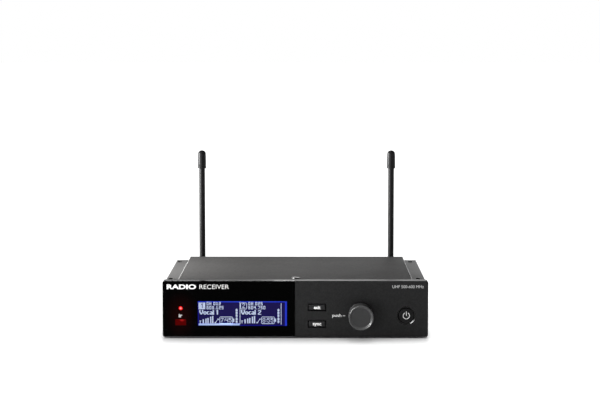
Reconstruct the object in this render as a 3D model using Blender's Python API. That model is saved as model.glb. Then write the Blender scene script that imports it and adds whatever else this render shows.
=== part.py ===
# Half-rack wireless microphone receiver with two whip antennas, piece by piece.
# X runs to the right seen from the front, Y to the rear and Z up; sizes are in metres.
# Pieces are drawn with Y = 0 on the front face. Their parent, the empty called receiver,
# puts the origin under the middle of the whole object, on the surface that it stands on.

import math

import bmesh
import bpy
from mathutils import Vector

MM = 0.001

# Overall sizes
FACE_WIDTH = 197.0 * MM
FACE_HEIGHT = 42.0 * MM
BODY_DEPTH = 140.0 * MM  # front face to the outside of the rear panel
FACE_LIFT = 1.0 * MM  # lower edge of the face above the floor

# Air between pieces
GAP = 0.3 * MM  # pieces that seat on each other
RUN_GAP = 0.4 * MM  # pieces that move past each other

# Bezel, and the window that covers its left half
BEZEL_DEPTH = 8.3 * MM
BEZEL_WALL = 2.0 * MM
BEZEL_FACE = 2.5 * MM
BEZEL_END_WALL = 1.2 * MM
BEZEL_CORNER = 2.5 * MM
BEZEL_EDGE = 0.6 * MM
WINDOW_THICK = 2.0 * MM
WINDOW_EDGE = 0.4 * MM
WINDOW_BACKING = 2.0 * MM  # bezel wall behind the window
SEAM_X = -0.2 * MM  # middle of the seam between window and control panel

# Display
LCD_WIDTH = 66.1 * MM
LCD_HEIGHT = 18.4 * MM
LCD_FROM_SEAM = 6.1 * MM
LCD_BASE_Z = 9.1 * MM
LCD_BORDER = 1.0 * MM  # glass beyond the lit area
LCD_GLASS_THICK = 1.9 * MM
TRAY_LIP = 1.5 * MM  # wall of the backlight tray
TRAY_DEPTH = 4.1 * MM
LIGHT_GUIDE_THICK = 2.3 * MM

# Status light and infrared port
LED_FROM_SIDE = 13.3 * MM
LED_Z = 22.2 * MM
LED_RADIUS = 1.5 * MM
IR_WIDTH = 8.3 * MM
IR_HEIGHT = 4.7 * MM
IR_BASE_Z = 9.4 * MM
IR_CELL = 5.6 * MM  # receiver cell on the board behind the port

# Buttons and switches
MENU_X = 16.1 * MM  # exit and sync buttons
MENU_WIDTH = 12.6 * MM
MENU_HEIGHT = 4.6 * MM
EXIT_Z = 23.3 * MM
SYNC_Z = 10.75 * MM
MENU_PROUD = 0.6 * MM
BUTTON_TRAVEL = 0.6 * MM
BUTTON_FLANGE = 1.3 * MM
POWER_FROM_SIDE = 16.2 * MM
POWER_Z = 17.0 * MM
POWER_RADIUS = 5.5 * MM
POWER_GROOVE = 0.6 * MM
POWER_CHAMFER = 1.0 * MM
SWITCH_SIZE = 6.0 * MM
SWITCH_NUB = 1.6 * MM

# Control knob and its encoder
KNOB_FROM_POWER = 33.8 * MM
KNOB_Z = 17.3 * MM
KNOB_RADIUS = 9.3 * MM
KNOB_REACH = 12.5 * MM
KNOB_AIR = 0.8 * MM
KNOB_RIM = 2.2 * MM
KNOB_DISH = 0.8 * MM
KNOB_TRAVEL = 0.5 * MM
SHAFT_RADIUS = 3.0 * MM
SHAFT_GRIP = 9.0 * MM  # shaft inside the knob
BUSHING_WALL = 1.1 * MM
BUSHING_REACH = 2.9 * MM
ENCODER_SIZE = 12.4 * MM
ENCODER_DEPTH = 5.0 * MM
PLUNGER_THICK = 1.1 * MM

# Sheet metal
SHEET = 1.0 * MM
COVER_STEP = 0.3 * MM  # cover below the top of the face
COVER_BEND = 1.5 * MM
COVER_LIP = 34.0 * MM
RAIL_THICK = 1.2 * MM
RAIL_INSET = 0.4 * MM
RAIL_WIDTH = 10.15 * MM
RAIL_DROP = 2.85 * MM
RAIL_LIFT = 2.5 * MM
RAIL_SCREW_RADIUS = 1.65 * MM
RAIL_PILOT_RADIUS = 0.55 * MM
RAIL_HOLE_PITCH = 2.8 * MM
RAIL_HOLE_ENDS = (34.0 * MM, 11.0 * MM)  # from the front face and from the rear panel
RAIL_HOLE_INSETS = (3.0 * MM, 5.0 * MM)  # screw hole from the outer edge, left and right
STANDOFF_RADIUS = 3.0 * MM
STANDOFF_HEIGHT = 4.2 * MM
CROSSBAR_WIDTH = 9.0 * MM
SCREW_Y = 16.0 * MM
SCREW_HEAD_RADIUS = 3.2 * MM
SCREW_HEAD = 1.4 * MM
SCREW_RADIUS = 1.5 * MM
SCREW_LENGTH = 7.0 * MM
FOOT_RADIUS = 6.0 * MM
FOOT_HEIGHT = 2.2 * MM
FOOT_INSET = 12.0 * MM

# Circuit boards
BOARD_THICK = 1.6 * MM
BOARD_EDGE = 4.0 * MM
MAIN_BOARD_FRONT = 6.0 * MM  # behind the front board
SHIELD_SIZE = (46.0 * MM, 36.0 * MM, 8.0 * MM)
SHIELD_WALL = 0.6 * MM
RIBBON_WIDTH = 20.0 * MM
RIBBON_THICK = 0.6 * MM
RIBBON_RISE = 14.0 * MM
CAPACITOR_RADIUS = 5.0 * MM
CAPACITOR_HEIGHT = 16.0 * MM

# Connectors on the rear panel
CONNECTOR_AIR = 0.7 * MM  # main board to the output shells
BNC_INSET = 6.5 * MM  # antenna jack from the edge of the rear panel
BNC_THREAD_RADIUS = 4.7 * MM
BNC_FLANGE_RADIUS = 6.2 * MM
BNC_FLANGE = 1.7 * MM
BNC_BARREL_RADIUS = 4.8 * MM
BNC_BARREL_WALL = 0.7 * MM
BNC_BARREL = 10.0 * MM
BNC_CORE_RADIUS = 2.3 * MM
BNC_LUG_RADIUS = 0.9 * MM
BNC_LUG_REACH = 0.7 * MM
BNC_NUT = 1.7 * MM
XLR_FLANGE_MARGINS = (1.3 * MM, 3.8 * MM)  # beyond the shell, sideways and upwards
XLR_FLANGE_THICK = 1.5 * MM
XLR_RADIUS = 11.7 * MM
XLR_WALL = 2.0 * MM
XLR_DEPTH = 18.0 * MM
XLR_INSERT = 4.0 * MM
XLR_PIN_RADIUS = 1.2 * MM
XLR_PIN_CIRCLE = 4.5 * MM
XLR_PIN = 11.0 * MM
PHONE_BORE = 3.25 * MM
PHONE_THREAD_RADIUS = 4.5 * MM
PHONE_THREAD = 5.3 * MM
PHONE_BODY = (14.0 * MM, 13.0 * MM, 21.0 * MM)
PHONE_NUT_RADIUS = 7.0 * MM
PHONE_NUT = 2.2 * MM
ETHERNET_SIZE = (16.0 * MM, 13.5 * MM, 22.0 * MM)
ETHERNET_SOCKET = (11.7 * MM, 8.6 * MM, 14.0 * MM)
ETHERNET_PROUD = 1.0 * MM
DC_BARREL_RADIUS = 4.8 * MM
DC_BODY = (10.0 * MM, 11.0 * MM, 14.0 * MM)
DC_BORE = 3.0 * MM
DC_PIN_RADIUS = 1.0 * MM
DC_PROUD = 1.5 * MM

# Antennas
COLLAR_WALL = 1.35 * MM
COLLAR_LIP = 1.1 * MM
PLUG_WALL = 0.9 * MM
PLUG_PIN_RADIUS = 0.5 * MM
NECK_RADIUS = 4.1 * MM
FORK_BASE = 1.4 * MM
FORK_BASE_RADIUS = 7.0 * MM
TONGUE_RADIUS = 4.3 * MM
TONGUE_WIDTH = 4.4 * MM
CHEEK_RADIUS = 4.9 * MM
CHEEK_THICK = 2.4 * MM
HINGE_PIN_RADIUS = 1.4 * MM
WHIP_LENGTH = 107.0 * MM  # hinge pin to the top of the cap
WHIP_RADIUS = 2.5 * MM
FERRULE_RADIUS = 3.5 * MM
FERRULE = (6.0 * MM, 14.0 * MM)  # above the hinge pin, from and to
CAP_LENGTH = 15.0 * MM
CAP_RADIUS = 3.5 * MM
CAP_TOP_RADIUS = 3.3 * MM
CAP_CROWN = 3.0 * MM

# Finishes: colour, roughness, metallic
STEEL_PAINT = ((0.09, 0.09, 0.092), 0.5, 0.6)
RAIL_PAINT = ((0.16, 0.16, 0.165), 0.45, 0.6)
MATTE_PLASTIC = ((0.02, 0.02, 0.021), 0.5, 0.0)
KNOB_PLASTIC = ((0.045, 0.045, 0.047), 0.45, 0.0)
RUBBER = ((0.02, 0.02, 0.02), 0.75, 0.0)
WINDOW_ACRYLIC = ((0.01, 0.01, 0.012), 0.05, 0.0)
LCD_BLUE = ((0.03, 0.025, 0.3), 0.15, 0.0)
WHITE_PLASTIC = ((0.8, 0.8, 0.78), 0.4, 0.0)
RED_LENS = ((0.6, 0.02, 0.02), 0.2, 0.0)
NICKEL = ((0.62, 0.6, 0.56), 0.25, 1.0)
STEEL = ((0.5, 0.5, 0.51), 0.35, 1.0)
BOARD_GREEN = ((0.02, 0.14, 0.05), 0.45, 0.0)
SLEEVE = ((0.03, 0.04, 0.09), 0.35, 0.0)

# Places worked out from the sizes above
face_half = FACE_WIDTH / 2
face_top = FACE_LIFT + FACE_HEIGHT
cover_top = face_top - COVER_STEP
cover_under = cover_top - SHEET
sheet_front = BEZEL_DEPTH + GAP
panel_inside = BODY_DEPTH - SHEET
rail_outer = face_half - RAIL_INSET
rail_inner = rail_outer - RAIL_WIDTH
rail_top = cover_top - RAIL_DROP
rail_base = FACE_LIFT + RAIL_LIFT
cover_half = rail_inner - GAP
tray_half = cover_half - SHEET - GAP
tray_inside = tray_half - SHEET
tray_base = FOOT_HEIGHT + GAP
tray_floor = tray_base + SHEET
tray_top = cover_under - GAP
panel_half = tray_inside - GAP
backing_front = WINDOW_THICK + GAP
backing_rear = backing_front + WINDOW_BACKING
glass_front = backing_front + GAP
glass_rear = glass_front + LCD_GLASS_THICK
tray_front = glass_rear + RUN_GAP
board_front = tray_front + TRAY_DEPTH + RUN_GAP
board_rear = board_front + BOARD_THICK
lcd_right = SEAM_X - LCD_FROM_SEAM
lcd_left = lcd_right - LCD_WIDTH
led_x = LED_FROM_SIDE - face_half
power_x = face_half - POWER_FROM_SIDE
knob_x = power_x - KNOB_FROM_POWER
flange_front = BEZEL_FACE + RUN_GAP
flange_rear = flange_front + BUTTON_FLANGE
nub_front = flange_rear + BUTTON_TRAVEL + GAP
encoder_rear = board_front - GAP
encoder_front = encoder_rear - ENCODER_DEPTH
shaft_front = KNOB_TRAVEL - KNOB_AIR - SHAFT_GRIP
plunger_rear = encoder_rear - KNOB_TRAVEL - 3 * GAP
plunger_front = plunger_rear - PLUNGER_THICK
main_board_base = tray_floor + STANDOFF_HEIGHT + GAP
main_board_top = main_board_base + BOARD_THICK
main_board_front = board_rear + MAIN_BOARD_FRONT
main_board_rear = panel_inside - BOARD_EDGE
connector_z = main_board_top + CONNECTOR_AIR + XLR_RADIUS
xlr_flange = [2 * (XLR_RADIUS + margin) for margin in XLR_FLANGE_MARGINS]
screw_seat = cover_top + GAP
bnc_x = panel_half - BNC_INSET
seat_rear = BODY_DEPTH + GAP  # what lies on the outside of the rear panel
barrel_front = seat_rear + BNC_FLANGE
barrel_rear = barrel_front + BNC_BARREL
neck_front = barrel_rear + RUN_GAP
collar_rear = neck_front + COLLAR_LIP
fork_front = collar_rear + RUN_GAP
hinge_y = fork_front + FORK_BASE + RUN_GAP + TONGUE_RADIUS
rear_reach = hinge_y + CHEEK_RADIUS
middle_y = (rear_reach - KNOB_REACH) / 2


def finish(name, look):
    colour, roughness, metallic = look
    material = bpy.data.materials.new(name)
    material.use_nodes = True
    shader = material.node_tree.nodes["Principled BSDF"]
    shader.inputs["Base Color"].default_value = (*colour, 1)
    shader.inputs["Roughness"].default_value = roughness
    shader.inputs["Metallic"].default_value = metallic
    material.diffuse_color = (*colour, 1)
    return material


def link(name, bm, origin):
    """An object with its origin at the given point, on the receiver's parent empty."""
    bmesh.ops.translate(bm, vec=-Vector(origin), verts=bm.verts)
    mesh = bpy.data.meshes.new(name)
    bm.to_mesh(mesh)
    bm.free()
    piece = bpy.data.objects.new(name, mesh)
    piece.location = origin
    piece.parent = bpy.data.objects["receiver"]
    bpy.context.scene.collection.objects.link(piece)
    return piece


def add_piece(name, bm, look, origin=(0, 0, 0)):
    piece = link(name, bm, origin)
    piece.data.materials.append(finish(name, look))
    piece.data.shade_smooth()
    piece.data.set_sharp_from_angle(angle=math.radians(35))
    return piece


def combine(piece, operation, label, bm):
    """Cuts a helper shape out of a piece, or fuses it on."""
    helper = link(f"{piece.name}_{label}", bm, (0, 0, 0))
    helper.hide_render = True
    helper.display_type = "WIRE"
    step = piece.modifiers.new(label, "BOOLEAN")
    step.operation = operation
    step.solver = "EXACT"
    step.object = helper


def cut(piece, label, bm):
    combine(piece, "DIFFERENCE", label, bm)


def fuse(piece, label, bm):
    combine(piece, "UNION", label, bm)


def together(*shapes):
    """One mesh that holds several shapes that lie apart."""
    whole = bmesh.new()
    for shape in shapes:
        mesh = bpy.data.meshes.new("shape")
        shape.to_mesh(mesh)
        shape.free()
        whole.from_mesh(mesh)
        bpy.data.meshes.remove(mesh)
    return whole


def block(x, y, z):
    """A box between the given pairs of limits."""
    bm = bmesh.new()
    bmesh.ops.create_cube(bm, size=1.0)
    sizes = [high - low for low, high in (x, y, z)]
    middle = [(high + low) / 2 for low, high in (x, y, z)]
    bmesh.ops.scale(bm, vec=sizes, verts=bm.verts)
    bmesh.ops.translate(bm, vec=middle, verts=bm.verts)
    return bm


def around(middle, size):
    return middle - size / 2, middle + size / 2


def arc(centre, radius, start, end, steps):
    angles = [math.radians(start + (end - start) * i / steps) for i in range(steps + 1)]
    return [(centre[0] + radius * math.cos(a), centre[1] + radius * math.sin(a)) for a in angles]


def rounded(across, up, radii, steps=4):
    """A rectangle's outline with a radius for each corner, from the low left one anticlockwise."""
    corners = []
    for i, radius in enumerate(radii):
        u = across[1] - radius if i in (1, 2) else across[0] + radius
        v = up[1] - radius if i in (2, 3) else up[0] + radius
        start = 180 + 90 * i
        corners += arc((u, v), radius, start, start + 90, steps) if radius else [(u, v)]
    return corners


def prism(outline, axis, low, high):
    """An outline pushed out along an axis; its two coordinates are the other axes in order."""
    bm = bmesh.new()
    index = "XYZ".index(axis)
    corners = []
    for point in outline:
        place = list(point)
        place.insert(index, low)
        corners.append(bm.verts.new(place))
    made = bmesh.ops.extrude_face_region(bm, geom=[bm.faces.new(corners)])
    moved = [item for item in made["geom"] if isinstance(item, bmesh.types.BMVert)]
    push = Vector()
    push[index] = high - low
    bmesh.ops.translate(bm, vec=push, verts=moved)
    bmesh.ops.recalc_face_normals(bm, faces=bm.faces)
    return bm


def turned(profile, axis, centre, steps=24):
    """A turned solid: the profile's points are (radius, place along the axis).

    A profile that starts and ends on the axis makes a solid piece, any other one a ring.
    The centre is given by its coordinates on the other two axes, in order."""
    bm = bmesh.new()
    index = "XYZ".index(axis)
    direction = Vector()
    direction[index] = 1
    side = Vector()
    side[(index + 1) % 3] = 1
    base = list(centre)
    base.insert(index, 0)
    base = Vector(base)
    chain = [bm.verts.new(base + side * radius + direction * along) for radius, along in profile]
    edges = [bm.edges.new(pair) for pair in zip(chain, chain[1:])]
    if profile[0][0] or profile[-1][0]:
        edges.append(bm.edges.new((chain[-1], chain[0])))
    bmesh.ops.spin(
        bm, geom=chain + edges, cent=base, axis=direction, angle=math.tau, steps=steps, use_merge=True
    )
    bmesh.ops.remove_doubles(bm, verts=bm.verts, dist=0.001 * MM)
    bmesh.ops.recalc_face_normals(bm, faces=bm.faces)
    return bm


def rod(radius, axis, centre, low, high, steps=16):
    return turned([(0, low), (radius, low), (radius, high), (0, high)], axis, centre, steps)


def soften(bm, width, chosen):
    """Bevels the edges whose two ends both pass the test."""
    edges = [edge for edge in bm.edges if all(chosen(vert.co) for vert in edge.verts)]
    bmesh.ops.bevel(
        bm, geom=edges, offset=width, segments=2, profile=0.5, affect="EDGES", material=-1
    )


def front_bezel():
    corners = (BEZEL_CORNER,) * 4
    shell = prism(rounded((-face_half, face_half), (FACE_LIFT, face_top), corners), "Y", 0, BEZEL_DEPTH)
    soften(shell, BEZEL_EDGE, lambda co: co.y < BEZEL_EDGE / 4)
    bezel = add_piece("front_bezel", shell, MATTE_PLASTIC)

    # The hollow is deeper on the right, where no window lies in front of the wall, and the
    # ends that stand out past the cover are closed behind.
    side = face_half - BEZEL_WALL
    behind = BEZEL_DEPTH + BEZEL_WALL
    end_wall = BEZEL_DEPTH - BEZEL_END_WALL
    step_x = SEAM_X + BEZEL_WALL
    hollow = [
        (-side, backing_rear),
        (step_x, backing_rear),
        (step_x, BEZEL_FACE),
        (side, BEZEL_FACE),
        (side, end_wall),
        (cover_half, end_wall),
        (cover_half, behind),
        (-cover_half, behind),
        (-cover_half, end_wall),
        (-side, end_wall),
    ]
    cut(bezel, "hollow", prism(hollow, "Z", FACE_LIFT + BEZEL_WALL, face_top - BEZEL_WALL))
    seat = block(
        (-face_half - 1 * MM, SEAM_X + GAP / 2), (-1 * MM, backing_front), (-1 * MM, face_top + 1 * MM)
    )
    cut(bezel, "window_seat", seat)

    through = (BEZEL_FACE - 5 * MM, backing_rear + 2 * MM)
    edge = LCD_BORDER + 2 * GAP
    lcd = block(
        (lcd_left - edge, lcd_right + edge), through, (LCD_BASE_Z - edge, LCD_BASE_Z + LCD_HEIGHT + edge)
    )
    middle_z = IR_BASE_Z + IR_HEIGHT / 2
    infrared = block(
        around(led_x, IR_WIDTH + 2 * RUN_GAP), through, around(middle_z, IR_HEIGHT + 2 * RUN_GAP)
    )
    lamp = rod(LED_RADIUS + RUN_GAP, "Y", (led_x, LED_Z), *through)
    cut(bezel, "window_ports", together(lcd, infrared, lamp))

    ports = [
        block(around(MENU_X, MENU_WIDTH + 2 * RUN_GAP), through, around(z, MENU_HEIGHT + 2 * RUN_GAP))
        for z in (EXIT_Z, SYNC_Z)
    ]
    bushing = SHAFT_RADIUS + GAP + BUSHING_WALL + RUN_GAP
    ports.append(rod(bushing, "Y", (knob_x, KNOB_Z), *through, steps=24))
    hole = POWER_RADIUS + POWER_GROOVE
    mouth = [
        (0, -POWER_CHAMFER),
        (hole + 2 * POWER_CHAMFER, -POWER_CHAMFER),
        (hole, POWER_CHAMFER),
        (hole, through[1]),
        (0, through[1]),
    ]
    ports.append(turned(mouth, "Y", (power_x, POWER_Z), 32))
    cut(bezel, "control_ports", together(*ports))


def display_window():
    corners = (BEZEL_CORNER, 0, 0, BEZEL_CORNER)
    outline = rounded((-face_half, SEAM_X - GAP / 2), (FACE_LIFT, face_top), corners)
    plate = prism(outline, "Y", 0, WINDOW_THICK)
    soften(plate, WINDOW_EDGE, lambda co: co.y < WINDOW_EDGE / 4)
    add_piece("display_window", plate, WINDOW_ACRYLIC)


def lcd_module():
    z_low = LCD_BASE_Z
    z_high = LCD_BASE_Z + LCD_HEIGHT

    def span(edge):
        return (lcd_left - edge, lcd_right + edge), (z_low - edge, z_high + edge)

    x, z = span(LCD_BORDER)
    add_piece("lcd_glass", block(x, (glass_front, glass_rear), z), LCD_BLUE)
    pocket_edge = LCD_BORDER + 2 * GAP
    x, z = span(pocket_edge + TRAY_LIP)
    tray = add_piece("backlight_tray", block(x, (tray_front, tray_front + TRAY_DEPTH), z), WHITE_PLASTIC)
    x, z = span(pocket_edge)
    guide_front = tray_front + GAP
    guide_rear = guide_front + LIGHT_GUIDE_THICK
    cut(tray, "pocket", block(x, (tray_front - 1 * MM, guide_rear + GAP), z))
    x, z = span(pocket_edge - GAP)
    add_piece("light_guide", block(x, (guide_front, guide_rear), z), WHITE_PLASTIC)


def status_led():
    tip = backing_front + GAP / 2
    collar = backing_rear + 2 * MM
    rear = board_front - GAP
    crown = [(radius, tip + LED_RADIUS - rise) for radius, rise in arc((0, 0), LED_RADIUS, 60, 0, 3)]
    profile = [(0, tip)] + crown
    profile += [
        (LED_RADIUS, collar),
        (LED_RADIUS + RUN_GAP, collar),
        (LED_RADIUS + RUN_GAP, collar + 1.2 * MM),
        (LED_RADIUS / 2, collar + 1.2 * MM),
        (LED_RADIUS / 2, rear),
        (0, rear),
    ]
    add_piece("status_led", turned(profile, "Y", (led_x, LED_Z), 12), RED_LENS)


def infrared_port():
    middle_z = IR_BASE_Z + IR_HEIGHT / 2
    flange = backing_rear + RUN_GAP
    rear = flange + 1 * MM
    front = block(around(led_x, IR_WIDTH), (glass_front, rear), around(middle_z, IR_HEIGHT))
    window = add_piece("ir_window", front, RED_LENS)
    x = around(led_x, IR_WIDTH + 2 * MM)
    z = around(middle_z, IR_HEIGHT + 2 * MM)
    fuse(window, "flange", block(x, (flange, rear + GAP), z))
    side = -tray_half + GAP
    body = block((side, side + IR_CELL), (rear + 3 * GAP, board_front - GAP), around(middle_z, IR_CELL))
    add_piece("ir_receiver", body, MATTE_PLASTIC)


def menu_button(name, z):
    """A rectangular cap that stands proud of the face, with the flange that stops it."""
    cap = block(around(MENU_X, MENU_WIDTH), (-MENU_PROUD, flange_rear), around(z, MENU_HEIGHT))
    soften(cap, 0.35 * MM, lambda co: co.y < 0)
    button = add_piece(name, cap, MATTE_PLASTIC, (MENU_X, 0, z))
    lip = 1.4 * MM
    sizes = around(MENU_X, MENU_WIDTH + 2 * lip), around(z, MENU_HEIGHT + 2 * lip)
    fuse(button, "flange", block(sizes[0], (flange_front, flange_rear + GAP / 3), sizes[1]))


def power_button():
    lip = POWER_RADIUS + POWER_GROOVE + 1 * MM
    round_edge = 0.5 * MM
    profile = [
        (0, 0),
        (POWER_RADIUS - round_edge, 0),
        (POWER_RADIUS - 0.3 * round_edge, 0.3 * round_edge),
        (POWER_RADIUS, round_edge),
        (POWER_RADIUS, flange_front),
        (lip, flange_front),
        (lip, flange_rear),
        (0, flange_rear),
    ]
    centre = (power_x, POWER_Z)
    add_piece("power_button", turned(profile, "Y", centre, 32), MATTE_PLASTIC, (power_x, 0, POWER_Z))


def tact_switch(name, x, z):
    """A small board switch; its nub stands just behind a button."""
    front = nub_front + 0.8 * MM
    body = block(around(x, SWITCH_SIZE), (front, board_front - GAP), around(z, SWITCH_SIZE))
    switch = add_piece(name, body, MATTE_PLASTIC)
    fuse(switch, "nub", rod(SWITCH_NUB, "Y", (x, z), nub_front, front + 1 * MM, 12))


def front_board():
    z = (tray_floor + 3 * GAP, tray_top - 2 * GAP)
    add_piece("front_board", block((-tray_half, tray_half), (board_front, board_rear), z), BOARD_GREEN)


def control_knob():
    """A turned knob with a rounded rim around a dished face, hollow for its shaft."""
    front = -KNOB_REACH
    rear = -KNOB_AIR
    dish = front + KNOB_DISH
    bore = SHAFT_RADIUS + GAP
    rim_middle = KNOB_RADIUS - KNOB_RIM / 2
    crown = arc((rim_middle, front + KNOB_RIM / 2), KNOB_RIM / 2, -150, 0, 5)
    profile = [(0, dish), (KNOB_RADIUS - KNOB_RIM - 0.2 * MM, dish)] + crown
    profile += [
        (KNOB_RADIUS, rear - 0.5 * MM),
        (KNOB_RADIUS - 0.5 * MM, rear),
        (bore, rear),
        (bore, shaft_front - GAP),
        (0, shaft_front - GAP),
    ]
    centre = (knob_x, KNOB_Z)
    add_piece("control_knob", turned(profile, "Y", centre, 36), KNOB_PLASTIC, (knob_x, 0, KNOB_Z))


def encoder():
    centre = (knob_x, KNOB_Z)
    origin = (knob_x, 0, KNOB_Z)
    bore = SHAFT_RADIUS + GAP
    shaft = rod(SHAFT_RADIUS, "Y", centre, shaft_front, plunger_front - GAP, 20)
    add_piece("encoder_shaft", shaft, STEEL, origin)
    plunger = rod(SHAFT_RADIUS - GAP / 3, "Y", centre, plunger_front, plunger_rear, 20)
    add_piece("encoder_plunger", plunger, STEEL, origin)
    can = block(around(knob_x, ENCODER_SIZE), (encoder_front, encoder_rear), around(KNOB_Z, ENCODER_SIZE))
    body = add_piece("encoder_body", can, STEEL)
    bushing_front = encoder_front - BUSHING_REACH
    fuse(body, "bushing", rod(bore + BUSHING_WALL, "Y", centre, bushing_front, encoder_front + 1 * MM, 24))
    pocket_end = plunger_rear + KNOB_TRAVEL + GAP
    cut(body, "bore", rod(bore, "Y", centre, bushing_front - 1 * MM, pocket_end, 24))


def chassis_tray():
    """The folded floor and sides, with standoffs that carry the main board."""
    outline = [
        (-tray_half, tray_base),
        (tray_half, tray_base),
        (tray_half, tray_top),
        (tray_inside, tray_top),
        (tray_inside, tray_floor),
        (-tray_inside, tray_floor),
        (-tray_inside, tray_top),
        (-tray_half, tray_top),
    ]
    folded = prism(outline, "Y", sheet_front, panel_inside - GAP)
    tray = add_piece("chassis_tray", folded, STEEL_PAINT)
    side = panel_half - 2 * BOARD_EDGE
    top = tray_floor + STANDOFF_HEIGHT
    posts = [
        rod(STANDOFF_RADIUS, "Z", (x, y), tray_floor - SHEET / 2, top, 12)
        for x in (-side, side)
        for y in (main_board_front + 2 * BOARD_EDGE, main_board_rear - 2 * BOARD_EDGE)
    ]
    fuse(tray, "standoffs", together(*posts))
    # The sides stop behind the front board, which is as wide as the tray.
    side = tray_half + SHEET
    notch = block((-side, side), (0, board_rear + GAP), (tray_floor + 2 * GAP, tray_top + SHEET))
    cut(tray, "board_notch", notch)


def top_cover():
    """The folded lid: a flat top with a lip down each side."""
    lip_end = cover_top - COVER_LIP
    corners = (cover_half - COVER_BEND, cover_top - COVER_BEND)
    outer = arc(corners, COVER_BEND, 0, 90, 3)
    inner = arc(corners, COVER_BEND - SHEET, 90, 0, 2)
    right = [(cover_half, lip_end)] + outer
    inside = inner + [(cover_half - SHEET, lip_end)]
    left = [(-x, z) for x, z in reversed(right)]
    inside_left = [(-x, z) for x, z in reversed(inside)]
    outline = right + left + inside_left + inside
    lid = prism(outline, "Y", sheet_front, BODY_DEPTH)
    cover = add_piece("top_cover", lid, STEEL_PAINT)
    hole = rod(SCREW_RADIUS + RUN_GAP, "Z", (0, SCREW_Y), cover_under - 1 * MM, cover_top + 1 * MM)
    cut(cover, "screw_hole", hole)


def front_crossbar():
    """The strip under the front of the cover that its screw goes into."""
    top = cover_under - GAP
    strip = block((-panel_half, panel_half), around(SCREW_Y, CROSSBAR_WIDTH), (top - 1.2 * SHEET, top))
    bar = add_piece("front_crossbar", strip, STEEL)
    cut(bar, "screw_hole", rod(SCREW_RADIUS + GAP, "Z", (0, SCREW_Y), top - 2 * SHEET, top + SHEET, 16))


def cover_screw():
    crown = arc((0, 0), SCREW_HEAD_RADIUS, 0, 60, 3)
    flatten = SCREW_HEAD / (SCREW_HEAD_RADIUS * math.sin(math.radians(60)))
    tip = screw_seat - SCREW_LENGTH
    profile = [(0, tip), (SCREW_RADIUS, tip), (SCREW_RADIUS, screw_seat)]
    profile += [(radius, screw_seat + height * flatten) for radius, height in crown]
    profile += [(0, screw_seat + SCREW_HEAD)]
    add_piece("cover_screw", turned(profile, "Z", (0, SCREW_Y), 16), STEEL)


def side_rail(name, side, inset):
    """A channel along the side, open outward, with its bracket holes in the top flange."""
    web = rail_inner + RAIL_THICK
    outline = [
        (rail_inner, rail_base),
        (rail_outer, rail_base),
        (rail_outer, rail_base + RAIL_THICK),
        (web, rail_base + RAIL_THICK),
        (web, rail_top - RAIL_THICK),
        (rail_outer, rail_top - RAIL_THICK),
        (rail_outer, rail_top),
        (rail_inner, rail_top),
    ]
    outline = [(side * x, z) for x, z in outline]
    rail = add_piece(name, prism(outline, "Y", sheet_front, BODY_DEPTH - GAP), RAIL_PAINT)
    screw_x = side * (rail_outer - inset)
    z = (rail_top - 2 * RAIL_THICK, rail_top + RAIL_THICK)
    holes = []
    for y in (RAIL_HOLE_ENDS[0], BODY_DEPTH - RAIL_HOLE_ENDS[1]):
        holes.append(rod(RAIL_SCREW_RADIUS, "Z", (screw_x, y), *z, steps=16))
        holes.append(rod(RAIL_PILOT_RADIUS, "Z", (screw_x + RAIL_HOLE_PITCH, y), *z, steps=8))
    cut(rail, "holes", together(*holes))


def rubber_feet():
    side = tray_half - FOOT_INSET
    places = {"front": sheet_front + FOOT_INSET, "rear": panel_inside - FOOT_INSET}
    profile = [(0, 0), (FOOT_RADIUS - 0.6 * MM, 0), (FOOT_RADIUS, 0.6 * MM), (FOOT_RADIUS, FOOT_HEIGHT)]
    profile += [(0, FOOT_HEIGHT)]
    for row, y in places.items():
        for column, x in (("left", -side), ("right", side)):
            add_piece(f"foot_{row}_{column}", turned(profile, "Z", (x, y), 20), RUBBER)


def main_board():
    side = panel_half - BOARD_EDGE
    y = (main_board_front, main_board_rear)
    add_piece("main_board", block((-side, side), y, (main_board_base, main_board_top)), BOARD_GREEN)


def rf_shield(name, side):
    """A can over a receiver stage, open towards the board."""
    width, depth, height = SHIELD_SIZE
    x = around(side * panel_half / 2, width)
    y = around((main_board_front + main_board_rear) / 2 - depth / 4, depth)
    base = main_board_top + GAP
    can = add_piece(name, block(x, y, (base, base + height)), NICKEL)
    inside = [(low + SHIELD_WALL, high - SHIELD_WALL) for low, high in (x, y)]
    cut(can, "inside", block(*inside, (base - 1 * MM, base + height - SHIELD_WALL)))


def ribbon_cable():
    """The flat lead from the front board down to the main board."""
    back = board_rear + GAP
    base = main_board_top + GAP
    end = main_board_front + 12 * MM
    bend = 3 * MM
    turn = (back + bend, base + bend)
    outer = arc(turn, bend, 180, 270, 4)
    inner = arc(turn, bend - RIBBON_THICK, 270, 180, 4)
    outline = [(back, base + RIBBON_RISE)] + outer
    outline += [(end, base), (end, base + RIBBON_THICK)] + inner
    outline += [(back + RIBBON_THICK, base + RIBBON_RISE)]
    add_piece("ribbon_cable", prism(outline, "X", *around(0, RIBBON_WIDTH)), WHITE_PLASTIC)


def dc_capacitor(x):
    y = main_board_rear - DC_BODY[2] - 2 * CAPACITOR_RADIUS
    base = main_board_top + GAP
    can = rod(CAPACITOR_RADIUS, "Z", (x, y), base, base + CAPACITOR_HEIGHT, 20)
    add_piece("dc_capacitor", can, SLEEVE)


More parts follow.
